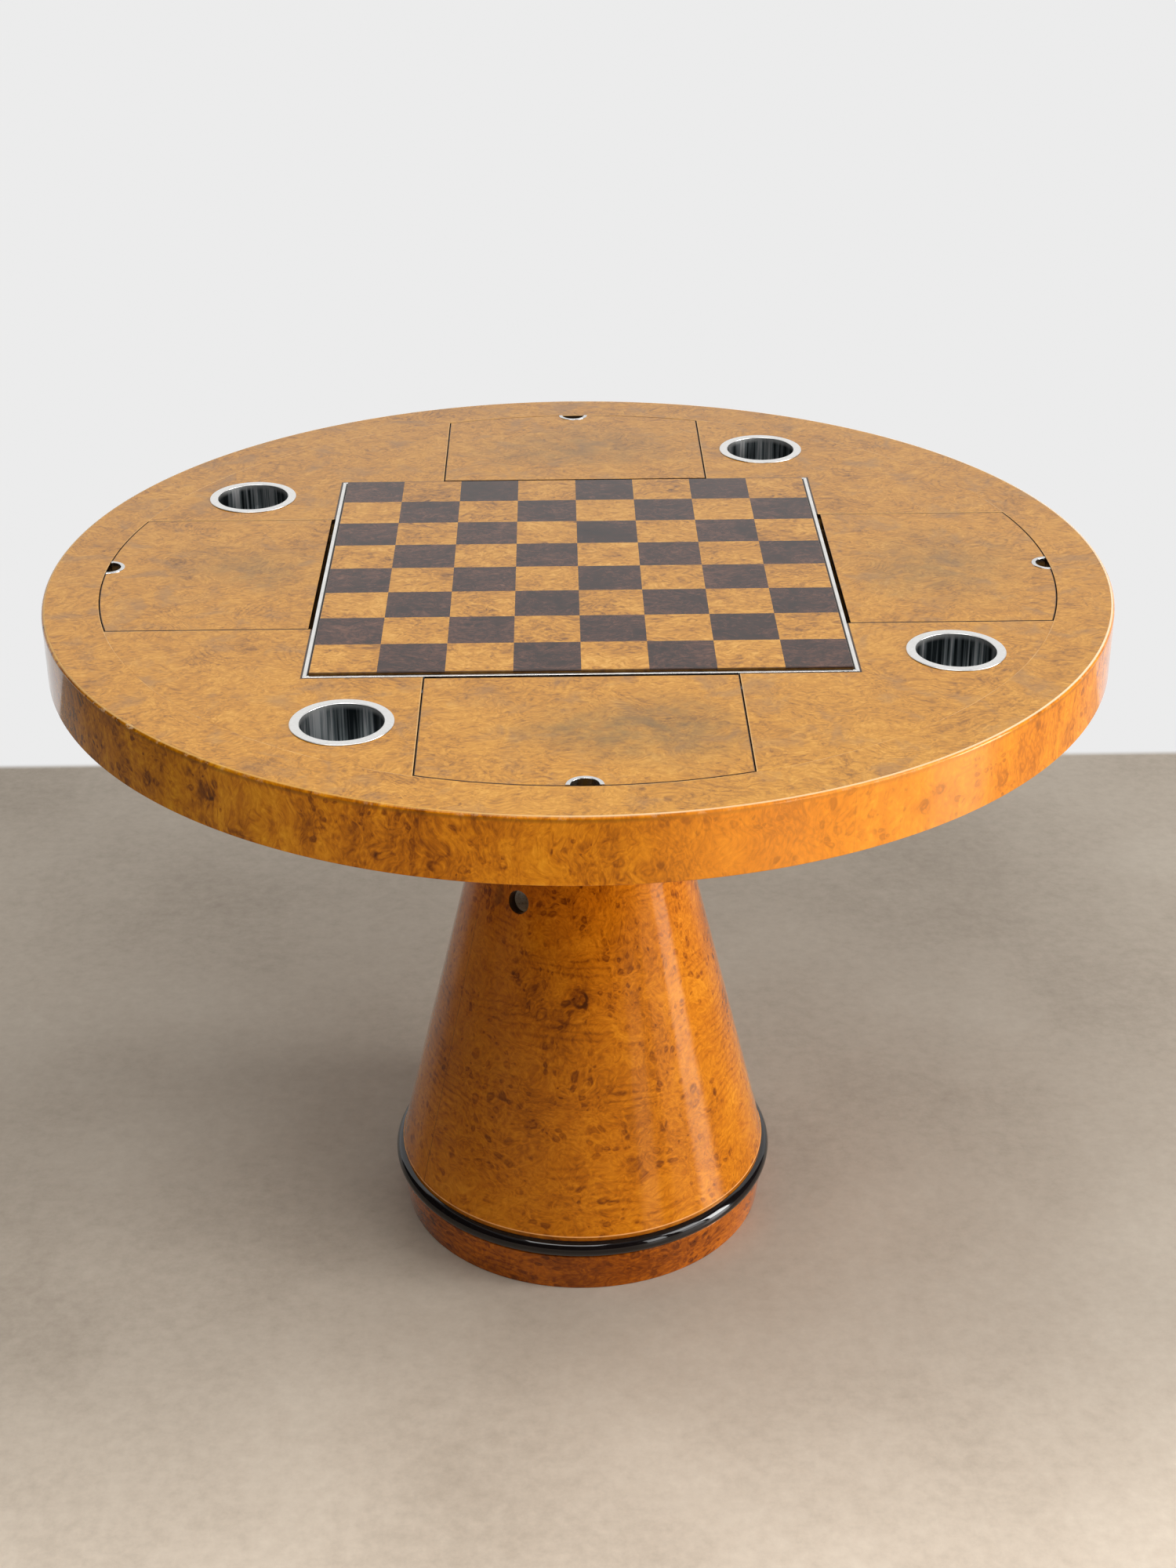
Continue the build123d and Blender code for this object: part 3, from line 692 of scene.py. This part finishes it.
RAW_STOPS = [(0.25, (0.30, 0.19, 0.10)), (0.5, (0.46, 0.32, 0.19)), (0.75, (0.58, 0.43, 0.28))]
GREY_STOPS = [(0.25, (0.6, 0.56, 0.5)), (0.45, (0.9, 0.88, 0.84)), (0.7, (0.96, 0.95, 0.93))]
# Colours of the painted reflection of streaks down the inside of the cups
INSIDE_REFLECTION_STOPS = [(0.38, (0.03, 0.038, 0.042)), (0.5, (0.36, 0.39, 0.4)), (0.6, (1.0, 0.98, 0.97))]
FELT_STOPS = [(0.25, (0.010, 0.042, 0.022)), (0.5, (0.022, 0.085, 0.045)), (0.8, (0.05, 0.15, 0.085))]
CONCRETE_STOPS = [(0.3, (0.33, 0.275, 0.215)), (0.5, (0.45, 0.385, 0.31)), (0.7, (0.54, 0.475, 0.39))]


def raw_wood(name, stops, scale=1.0):
    """Unfinished timber or board: straight grain with pores."""
    g = Graph(name)
    place = g.vector("MULTIPLY", g.place(), (8 * scale, 60 * scale, 60 * scale))
    grain = g.noise(bent(g, place, 0.4, 0.8), 1.6, 5, 0.62)
    pores = g.span(g.noise(g.vector("MULTIPLY", g.place(), (60, 900, 900)), 1), 0.35, 0.5, 0.72, 1.0)
    return g.surface(
        Base_Color=g.mix(1.0, g.ramp(grain, stops), pores, "MULTIPLY"),
        Roughness=g.span(grain, 0.2, 0.8, 0.7, 0.9), Normal=g.bump(grain, 0.2 * MM, 0.5),
    )


def metal(name, colour, roughness, smear=0.08, scale=90.0, bump_depth=0.02 * MM):
    """Metal with smears and fine scratches that break up its polish."""
    g = Graph(name)
    haze = g.noise(g.place(), scale, 4, 0.6)
    scratch = g.noise(g.vector("MULTIPLY", g.place(), (1, 0.08, 1)), scale * 14)
    return g.surface(
        Base_Color=g.mix(g.span(haze, 0.3, 0.8), tuple(c * 0.9 for c in colour), colour), Metallic=1.0,
        Roughness=g.span(haze, 0.25, 0.8, roughness, roughness + smear),
        Normal=g.bump(scratch, bump_depth, 0.3),
    )


def frame_metal():
    """Bright chrome of the frame, darkened along its inner side, where the board stands against it, by
    painted shade and grime.
    """
    g = Graph("chrome")
    x, y, _ = g.axes(g.place())
    haze = g.noise(g.place(), 60, 4, 0.6)
    bright = g.ramp(haze, [(0.3, (0.84, 0.82, 0.78)), (0.7, (0.97, 0.955, 0.92))])
    most = g.math("MAXIMUM", g.math("ABSOLUTE", x), g.math("ABSOLUTE", y))
    # Painted shade and grime: a dark line along the frame's inner side
    shade_and_grime = g.span(most, TRIM_INNER + 0.8 * MM, TRIM_INNER + 1.3 * MM, 0.9, 0.0)
    return g.surface(
        Base_Color=g.mix(shade_and_grime, bright, (0.03, 0.022, 0.016)), Metallic=1.0,
        Roughness=g.span(haze, 0.25, 0.8, 0.16, 0.28),
    )


def cup_metal():
    """Chrome that is satin on the flange, with a painted reflection of streaks down the inside of the cup
    and a painted shadow under the flange's rim.
    """
    g = Graph("cup_chrome")
    _, _, z = g.axes(g.place())
    inner = g.span(z, TOP_Z - 6 * MM, TOP_Z + 0.2 * MM, 1.0, 0.0)
    upright = g.vector("MULTIPLY", g.place(), (1, 1, 0.02))
    streak = g.total(g.noise(upright, 170, 3, 0.7), g.span(g.noise(upright, 42), 0.42, 0.6, -0.1, 0.03))
    on_wall = g.span(z, CUP_LOW_Z + 1 * MM, CUP_LOW_Z + 7 * MM, 0.15, 1.0)
    streak = g.total(g.product(g.less(streak, 0.5), on_wall), 0.5)
    # Painted reflection: dark and pale streaks down the cup's inside
    inside = g.ramp(streak, INSIDE_REFLECTION_STOPS)
    fleck = g.noise(g.place(), 420, 3, 0.6)
    flange = g.ramp(fleck, [(0.3, (0.86, 0.85, 0.82)), (0.7, (0.96, 0.95, 0.93))])
    # Painted shadow: a dark band under the flange's rim
    flange_shadow = g.band(z, TOP_Z, TOP_Z + 0.35 * MM, 0.1 * MM)
    return g.surface(
        Base_Color=g.mix(flange_shadow, g.mix(inner, flange, inside), (0.06, 0.05, 0.045)), Metallic=1.0,
        Roughness=g.total(g.product(inner, 0.02), 0.3, g.product(fleck, 0.08)),
        Normal=g.bump(streak, 0.15 * MM, 0.35),
    )


def black_lacquer():
    g = Graph("black_lacquer")
    place, _, _ = around_axis(g, BEAD_R)
    dust = g.noise(place, 300, 4, 0.7)
    return g.surface(
        Base_Color=g.mix(g.span(dust, 0.5, 0.8, 0.0, 0.5), (0.006, 0.004, 0.004), (0.03, 0.022, 0.02)),
        Roughness=g.span(dust, 0.3, 0.8, 0.04, 0.1), Normal=g.bump(g.noise(place, 45), 0.4 * MM, 0.3),
    )


def felt():
    """Woollen felt: matted fibres, a soft sheen and slight fading."""
    g = Graph("felt")
    fibre = g.noise(bent(g, g.place(), 700, 0.002), 1600, 4, 0.75, 1.5)
    tone = g.total(g.product(fibre, 0.6), g.product(g.noise(g.place(), 14, 3), 0.4))
    return g.surface(
        Base_Color=g.ramp(tone, FELT_STOPS), Roughness=0.95, Sheen_Weight=0.4, Sheen_Roughness=0.5,
        Normal=g.bump(fibre, 0.35 * MM, 0.8),
    )


def floor_finish():
    """Pale concrete, with painted light making it lighter in front, that gives way to the plain pale
    backdrop behind the table and far from it. Only the table's lacquer sees its gloss, so no glare lies on
    it."""
    g = Graph("floor_finish")
    place = g.place()
    _, y, _ = g.axes(place)
    grit = g.noise(place, 60, 5, 0.7)
    tone = g.total(g.product(g.noise(place, 2.2, 5, 0.6), 0.65), g.product(grit, 0.35))
    colour = g.ramp(tone, CONCRETE_STOPS)
    # Painted light: the concrete is made brighter in front of the table
    front = g.span(y, -0.8, -0.2, 1.8, 1.04)
    seen = g.put("LightPath").outputs["Is Camera Ray"]
    concrete = g.put("BsdfPrincipled", [
        ("Base Color", g.vector("MULTIPLY", colour, g.joined(front, front, front))),
        ("Roughness", g.span(seen, 0.0, 1.0, 0.28, 0.6)),
        ("Specular IOR Level", g.span(seen, 0.0, 1.0, 0.5, 0.4)), ("Normal", g.bump(grit, 0.5 * MM, 0.3)),
    ])
    pale = g.put("Emission", [("Color", BACKDROP), ("Strength", 1.0)])
    behind = g.span(y, BACKDROP_Y, BACKDROP_Y + 0.02)
    far = g.product(g.span(g.length(place), 1.7, 4.0), seen)
    both = g.put("MixShader", [
        (0, g.math("MAXIMUM", behind, far)), (1, concrete.outputs[0]), (2, pale.outputs[0]),
    ])
    g.put("OutputMaterial", [("Surface", both.outputs[0])])
    return g.material


# ---- Finishes in use ----

# Places of knots and smudges, in metres from the table's axis
FIELD_SPOTS = [
    (-0.36, -0.215, 0.011, 0.35), (0.33, -0.30, 0.011, 0.4), (-0.21, 0.36, 0.01, 0.25),
    (0.3, 0.25, 0.01, 0.25),
]
BORDER_SPOTS = [(-0.27, -0.42, 0.008, 0.35), (0.44, -0.24, 0.009, 0.35), (0.12, 0.49, 0.008, 0.3)]
LID_SPOTS = [
    (-0.41, 0.03, 0.010, 0.5), (-0.02, -0.40, 0.012, 0.35), (0.115, -0.35, 0.003, 0.9),
    (0.36, 0.05, 0.009, 0.3), (0.13, -0.43, 0.002, 0.9),
]
LID_SMUDGES = {
    "front": (0.04, -0.365, 0.13, 0.075, 0.95), "back": (0.0, 0.36, 0.15, 0.07, 0.6),
    "left": (-0.33, 0.02, 0.1, 0.08, 0.6), "right": (0.36, 0.0, 0.11, 0.11, 0.7),
}

FIELD = top_veneer("field_veneer", "field", FIELD_SPOTS)
BORDER = top_veneer("border_veneer", "border", BORDER_SPOTS)
LIDS = {
    side: top_veneer("lid_veneer_" + side, "lid", LID_SPOTS, smudge) for side, smudge in LID_SMUDGES.items()
}
APRON = apron_veneer()
PEDESTAL = pedestal_veneer("pedestal_veneer")
PLINTH = pedestal_veneer("plinth_veneer", 0.17)
LIGHT = square_veneer("light_veneer", TOP_STOPS, 0.6)
DARK = square_veneer("dark_veneer", DARK_STOPS, 0.5)
RAW = raw_wood("raw_board", RAW_STOPS)
RAW_GREY = raw_wood("raw_socket", GREY_STOPS, 2.0)
CHROME = frame_metal()
PULL_CHROME = metal("pull_chrome", (0.84, 0.84, 0.83), 0.14, 0.14, 300)
CUP_CHROME = cup_metal()
BLACK = black_lacquer()
FELT = felt()
BRASS = metal("brass", (0.78, 0.55, 0.2), 0.25)
ZINC = metal("zinc_steel", (0.62, 0.64, 0.66), 0.35, 0.2, 200)
BLACK_STEEL = metal("black_steel", (0.05, 0.05, 0.052), 0.45, 0.2, 120)
IRON = metal("cast_iron", (0.16, 0.16, 0.165), 0.6, 0.25, 150, 0.4 * MM)


# ---- Table top ----

def make_apron():
    """Bent hoop round the drum, with a rounded arris and a rebate for the border."""
    wall_r = TOP_R - APRON_WALL
    outline = rounded([
        (BORDER_R, TOP_Z, 0.2 * MM), (TOP_R, TOP_Z, ARRIS_R), (TOP_R, UNDER_Z, FOOT_EASE),
        (wall_r, UNDER_Z, 0), (wall_r, PANEL_Z, 0), (BORDER_R, PANEL_Z, 0),
    ])
    finished(lathe("apron", outline), "table", APRON, ["apron_ring"])


def make_border():
    """Outer band of the top."""
    outline = rounded([
        (FIELD_R, PANEL_Z, 0), (FIELD_R, TOP_Z, BORDER_EASE),
        (BORDER_R, TOP_Z, BORDER_EASE), (BORDER_R, PANEL_Z, 0),
    ])
    finished(lathe("border", outline), "table", BORDER, ["border_ring"])


def make_corner_panels():
    """The field's L-shaped panels, each with its cup's hole."""
    side = asin(TRAY_HALF / FIELD_R)
    rim = arc(FIELD_R, -pi / 2 + side, -side)
    rim += [(TRIM_OUTER, -TRAY_HALF), (TRIM_OUTER, -TRIM_OUTER), (TRAY_HALF, -TRIM_OUTER)]
    step = radians(5)
    for i, corner in enumerate(CORNERS):
        hole = arc(CUP_HOLE_R, 0, 2 * pi - step, box_middle("cup_" + corner), step)
        outlines = [turned_points(rim, 90 * i), hole]
        panel = plate("corner_panel." + corner, outlines, PANEL_Z, TOP_Z, PANEL_EASE)
        finished(panel, "table", FIELD, ["corner_panel_" + corner])


def make_trims():
    """Mitred chrome bars round the board."""
    outline = [
        (-TRIM_OUTER, -TRIM_OUTER), (TRIM_OUTER, -TRIM_OUTER),
        (TRIM_INNER, -TRIM_INNER), (-TRIM_INNER, -TRIM_INNER),
    ]
    for side, turn in SIDE_TURNS.items():
        bar = plate("trim." + side, [turned_points(outline, turn)], PANEL_Z, TRIM_Z, TRIM_EASE)
        finished(bar, "table", CHROME, ["trim_" + side])


# ---- Lids and their pulls ----

def pull_turn(side):
    """How far a side's pull is turned from the middle of its lid, in degrees."""
    low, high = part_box("pull_" + side)
    middle = (low + high) / 2
    turn = degrees(atan2(middle.y, middle.x)) + 90 - SIDE_TURNS[side]
    return (turn + 180) % 360 - 180


def make_lids():
    """Lids with eased edges: straight sides, curved outer edge and a round notch for the pull."""
    side_angle = asin(LID_HALF / LID_R)
    notch_angle = 2 * asin(PULL_NOTCH_R / 2 / LID_R)
    for side, turn in SIDE_TURNS.items():
        lean = radians(pull_turn(side))
        notch = lean - pi / 2
        notch_at = (LID_R * cos(notch), LID_R * sin(notch))
        outline = [(-LID_HALF, -LID_NEAR)] + arc(LID_R, -pi / 2 - side_angle, notch - notch_angle)
        outline += arc(PULL_NOTCH_R, lean + pi, lean, notch_at, radians(6))[1:-1]
        outline += arc(LID_R, notch + notch_angle, -pi / 2 + side_angle) + [(LID_HALF, -LID_NEAR)]
        lid = plate("lid." + side, [turned_points(outline, turn)], PANEL_Z, TOP_Z, LID_EASE)
        finished(lid, "lid_" + side, LIDS[side], ["lid_" + side])


def make_pulls():
    """Half-round chrome sleeves with a domed flange."""
    setback = asin(PULL_SETBACK / PULL_HOLE_R)
    for side, turn in SIDE_TURNS.items():
        low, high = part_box("pull_" + side)
        flange_r = max(high.x - low.x, high.y - low.y) / 2
        outline = rounded([
            (PULL_HOLE_R, low.z, 0), (PULL_HOLE_R, high.z, 0.5 * MM), (flange_r, high.z, 0.55 * MM),
            (flange_r, TOP_Z, 0), (PULL_NOTCH_R, TOP_Z, 0), (PULL_NOTCH_R, low.z, 0),
        ])
        facing = radians(turn + pull_turn(side) - 90)
        middle = (LID_R * cos(facing), LID_R * sin(facing))
        start, sweep = facing + pi / 2 + setback, pi - 2 * setback
        pull = lathe("pull." + side, outline, middle, start, sweep, PULL_TURNS)
        finished(pull, "lid_" + side, PULL_CHROME, ["pull_" + side])


# ---- Board ----

def tile_steps(index):
    """Places of a tile's grid lines along one axis, as (place, depth into the board's round edge)."""
    low, high = index * SQUARE - BOARD_HALF, (index + 1) * SQUARE - BOARD_HALF
    bends = [TILE_EASE * sin(pi / 2 * k / EDGE_STEPS) for k in range(1, EDGE_STEPS + 1)]
    flat = BOARD_HALF - TILE_EASE
    if index == 0:
        return [(-flat - bend, bend) for bend in reversed(bends)] + [(-flat, 0.0), (high, 0.0)]
    if index == SQUARES - 1:
        return [(low, 0.0), (flat, 0.0)] + [(flat + bend, bend) for bend in bends]
    return [(low, 0.0), (high, 0.0)]


def tile_point(x, x_bend, y, y_bend):
    """Point on a tile's face, which rounds off at the board's edges and is a ball's at its corners."""
    reach = hypot(x_bend, y_bend)
    bend = min(reach, TILE_EASE)
    shrink = bend / reach if x_bend and y_bend else 1.0
    x -= (1 if x > 0 else -1) * x_bend * (1 - shrink)
    y -= (1 if y > 0 else -1) * y_bend * (1 - shrink)
    return x, y, BOARD_Z - TILE_EASE + sqrt(max(0.0, TILE_EASE**2 - bend**2))


def make_squares():
    """The two shades of tile."""
    for shade, (name, material) in enumerate([("light", LIGHT), ("dark", DARK)]):
        shape = bmesh.new()
        for column in range(SQUARES):
            for row in range(SQUARES):
                if (column + row) % 2 == shade:
                    x_steps, y_steps = tile_steps(column), tile_steps(row)
                    grid_solid(shape, [[tile_point(*a, *b) for a in x_steps] for b in y_steps], TILE_Z)
        tiles = from_bmesh(name + "_tiles", shape)
        finished(tiles, "board", material, [name + "_squares"])


# ---- Cups ----

def make_cups():
    """Spun cups with a rolled flange and a rounded floor."""
    shell_r = CUP_BORE_R + CUP_WALL
    for corner in CORNERS:
        low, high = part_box("cup_" + corner)
        flange_r = (high.x - low.x) / 2
        floor_z = low.z + CUP_WALL
        outline = rounded([
            (0, low.z, 0), (shell_r, low.z, CUP_FLOOR_R + CUP_WALL), (shell_r, TOP_Z, 0),
            (flange_r, TOP_Z, 0), (flange_r, high.z, 0.8 * MM), (CUP_BORE_R, high.z, 0.9 * MM),
            (CUP_BORE_R, floor_z, CUP_FLOOR_R), (0, floor_z, 0),
        ])
        cup = lathe("cup." + corner, outline, box_middle("cup_" + corner), turns=CUP_TURNS)
        finished(cup, "cup_" + corner, CUP_CHROME, ["cup_" + corner])


# ---- Pedestal ----

def make_bead():
    """Half-round black bead at the foot of the cone."""
    low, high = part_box("bead_ring")
    nose_r = (high.z - low.z) / 2
    inner_r = node_radii("bead_ring")[0]
    nose = arc(nose_r, -pi / 2, pi / 2, (high.x - nose_r, low.z + nose_r), radians(10))
    outline = [(inner_r, low.z)] + nose + [(inner_r, high.z)]
    finished(lathe("bead", outline), "table", BLACK, ["bead_ring"])


def make_plinth():
    """Veneered band under the bead, which leans like the cone."""
    low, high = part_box("plinth_band")
    foot_r = node_radii("plinth_band", low.z)[1]
    outline = rounded([
        (foot_r, low.z, 1.5 * MM), (high.x, high.z, 0.8 * MM), (high.x - PLINTH_WALL, high.z, 0),
        (foot_r - PLINTH_WALL, low.z, 0),
    ])
    finished(lathe("plinth", outline), "table", PLINTH, ["plinth_band"])


# ---- Felt ----

def laid_felt(name, felt_point, replaced):
    """Sheet of felt laid on the drum's floor, with soft edges and a slightly uneven face. Its
    felt_point gives the place of a point at shares s and t of its width and depth."""
    shape = bmesh.new()
    thick = FELT_Z - FLOOR_Z
    tops = []
    for i in range(FELT_CELLS + 1):
        tops.append([])
        for j in range(FELT_CELLS + 1):
            s, t = i / FELT_CELLS, j / FELT_CELLS
            x, y = felt_point(s, t)
            cells_in = min(s, 1 - s, t, 1 - t) * FELT_CELLS
            soft = thick * (0.72 + 0.28 * min(1.0, cells_in / 2))
            wave = 0.06 * thick * (sin(61 * x + 17 * y) * sin(53 * y - 9 * x) - 1)
            tops[-1].append((x, y, FLOOR_Z + soft + wave))
    grid_solid(shape, tops, FLOOR_Z)
    cloth = from_bmesh(name, shape)
    finished(cloth, "table", FELT, replaced)


def make_felts():
    """Felt on the floors of the well and of the four trays, whose outer edges are curved."""
    well_low, well_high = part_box("well_lining")
    well = 2 * well_high.x

    def well_point(s, t):
        return well_low.x + well * s, well_low.y + well * t

    laid_felt("well_felt", well_point, ["well_lining"])
    for side, turn in SIDE_TURNS.items():
        angle = radians(turn)

        def tray_point(s, t):
            x = TRAY_HALF * (2 * s - 1)
            y = -TRIM_OUTER + t * (TRIM_OUTER - sqrt(FIELD_R**2 - x**2))
            return x * cos(angle) - y * sin(angle), x * sin(angle) + y * cos(angle)

        laid_felt("tray_felt." + side, tray_point, ["tray_linings"])


# ---- CAD nodes that stay ----

KEPT = [
    (RAW, [
        "underside_panel", "well_wall_front", "well_wall_back", "well_wall_left", "well_wall_right",
        "tray_side_walls", "tray_arc_walls", "lid_cleats", "corner_ribs", "cone_top_block", "base_board",
        "plinth_disc", "board_core",
    ]),
    (RAW_GREY, ["socket_block"]),
    (PEDESTAL, ["cone_shell", "cone_base_disc"]),
    (LIGHT, ["board_lipping"]),
    (FELT, ["board_backing"]),
    (BRASS, ["hinge_bushes"]),
    (ZINC, ["plate_screws", "tie_rod", "rod_nuts", "rod_washers"] + ["hinge_pins_" + s for s in SIDE_TURNS]),
    (BLACK_STEEL, ["mounting_plate"]),
    (IRON, ["ballast_disc"]),
]


def finish_kept_nodes():
    """Gives the CAD nodes that keep their own shape their materials."""
    for material, names in KEPT:
        for name in names:
            mesh = frame["nodes"][name].data
            mesh.materials.clear()
            mesh.materials.append(material)


# ---- Floor, light and camera ----

WINDOW_DISTANCE = 4.2
WINDOW_HEIGHT = 0.5
WINDOW_AIM = (0, 0, 0.55)
WALL_AT, WALL_SHEEN_AT, WALL_AIM, WALL_SIZE = (0, 2.2, 1.6), (0, 2.25, 1.6), (0, 0, 0.75), (7, 3.0)

# Windows as (azimuth from the front towards the right, elevation, size, radiance)
WINDOWS = [
    (62, 12, (1.1, 2.2), 2.7), (62, 30, (1.5, 1.5), 5.1),
    (80, 12, (1.1, 2.2), 14.8), (40, 12, (0.8, 2.0), 4.2),
]

# A window's reflection is a light of its own, stronger, and nearer so that the two don't coincide
SHINE_STRENGTH = 1.15
SHINE_OFFSET = 0.02

# The flat pieces of the top, by the starts of their names, don't mirror the windows
DAZZLED = ("border", "corner_panel", "lid.", "light_tiles", "dark_tiles")

CAMERA_AT = (-0.0210, -2.2458, 1.6723)
CAMERA_HEADING, CAMERA_DOWN, CAMERA_ROLL = radians(-0.758), radians(27.41), radians(-0.354)
CAMERA_LENS, CAMERA_SENSOR = 55.166, 36.0


def make_floor():
    """Wide square floor, which is also the backdrop."""
    mesh = bpy.data.meshes.new("floor")
    ends = (-FLOOR_REACH, FLOOR_REACH)
    mesh.from_pydata([(x, y, 0) for y in ends for x in ends], [], [(0, 1, 3, 2)])
    floor = bpy.data.objects.new("floor", mesh)
    floor.data.materials.append(floor_finish())
    bpy.context.scene.collection.objects.link(floor)


def area_light(name, place, aim, size, radiance, diffuse=True, glossy=True):
    """Rectangular light of a given radiance, which the camera doesn't see."""
    light = bpy.data.lights.new(name, "AREA")
    light.shape = "RECTANGLE"
    light.size, light.size_y = size
    light.energy = radiance * pi * size[0] * size[1]
    holder = bpy.data.objects.new(name, light)
    holder.location = place
    holder.rotation_mode = "QUATERNION"
    holder.rotation_quaternion = (Vector(aim) - Vector(place)).to_track_quat("-Z", "Y")
    holder.visible_camera = False
    holder.visible_diffuse = diffuse
    holder.visible_glossy = glossy
    bpy.context.scene.collection.objects.link(holder)
    return holder


def undazzled():
    """Collection that keeps the top's flat pieces out of a light."""
    collection = bpy.data.collections.new("undazzled")
    for piece in [piece for piece in bpy.context.scene.objects if piece.name.startswith(DAZZLED)]:
        collection.objects.link(piece)
    for entry in collection.collection_objects:
        entry.light_linking.link_state = "EXCLUDE"
    return collection


def make_world():
    """Faint light from all round, and a pale backdrop for the camera."""
    world = bpy.data.worlds.new("studio")
    world.use_nodes = True
    nodes, links = world.node_tree.nodes, world.node_tree.links
    nodes.clear()
    path = nodes.new("ShaderNodeLightPath")
    dim, seen = nodes.new("ShaderNodeBackground"), nodes.new("ShaderNodeBackground")
    dim.inputs["Color"].default_value = (1, 0.98, 0.95, 1)
    dim.inputs["Strength"].default_value = 0.025
    seen.inputs["Color"].default_value = BACKDROP
    mix = nodes.new("ShaderNodeMixShader")
    output = nodes.new("ShaderNodeOutputWorld")
    links.new(path.outputs["Is Camera Ray"], mix.inputs[0])
    links.new(dim.outputs[0], mix.inputs[1])
    links.new(seen.outputs[0], mix.inputs[2])
    links.new(mix.outputs[0], output.inputs["Surface"])
    bpy.context.scene.world = world


def make_lights():
    """Soft light from above and from the wall behind, a skylight in front, and windows at the right."""
    area_light("ceiling", (0, 0, 4.0), (0, 0, 0), (7, 7), 0.26)
    area_light("wall_bounce", WALL_AT, WALL_AIM, WALL_SIZE, 0.58)
    area_light("wall_sheen", WALL_SHEEN_AT, WALL_AIM, WALL_SIZE, 0.25, diffuse=False)
    area_light("skylight", (-0.4, -1.6, 3.0), (-0.3, -1.2, 0), (2.0, 1.5), 5.2)
    receivers = undazzled()
    for azimuth, elevation, size, radiance in WINDOWS:
        turn, rise = radians(azimuth), radians(elevation)
        way = Vector((sin(turn) * cos(rise), -cos(turn) * cos(rise), sin(rise)))
        place = way * WINDOW_DISTANCE + Vector((0, 0, WINDOW_HEIGHT))
        name = f"window.{azimuth}.{elevation}"
        area_light(name, place, WINDOW_AIM, size, radiance, glossy=False)
        shine_at, strength = place - SHINE_OFFSET * way, SHINE_STRENGTH * radiance
        shine = area_light(name + ".shine", shine_at, WINDOW_AIM, size, strength, diffuse=False)
        shine.light_linking.receiver_collection = receivers


def make_camera():
    """Camera in front of the table, a little to the left, looking down at it."""
    camera = bpy.data.cameras.new("camera")
    camera.lens = CAMERA_LENS
    camera.sensor_width = CAMERA_SENSOR
    camera.sensor_fit = "AUTO"
    holder = bpy.data.objects.new("camera", camera)
    turn = Matrix.Rotation(CAMERA_HEADING, 4, "Z") @ Matrix.Rotation(pi / 2 - CAMERA_DOWN, 4, "X")
    holder.matrix_world = Matrix.Translation(CAMERA_AT) @ turn @ Matrix.Rotation(CAMERA_ROLL, 4, "Z")
    bpy.context.scene.collection.objects.link(holder)
    bpy.context.scene.camera = holder


make_apron()
make_border()
make_corner_panels()
make_trims()
make_lids()
make_pulls()
make_squares()
make_cups()
make_bead()
make_plinth()
make_felts()
finish_kept_nodes()
make_floor()
make_world()
make_lights()
make_camera()
bpy.context.scene.view_settings.view_transform = "Standard"
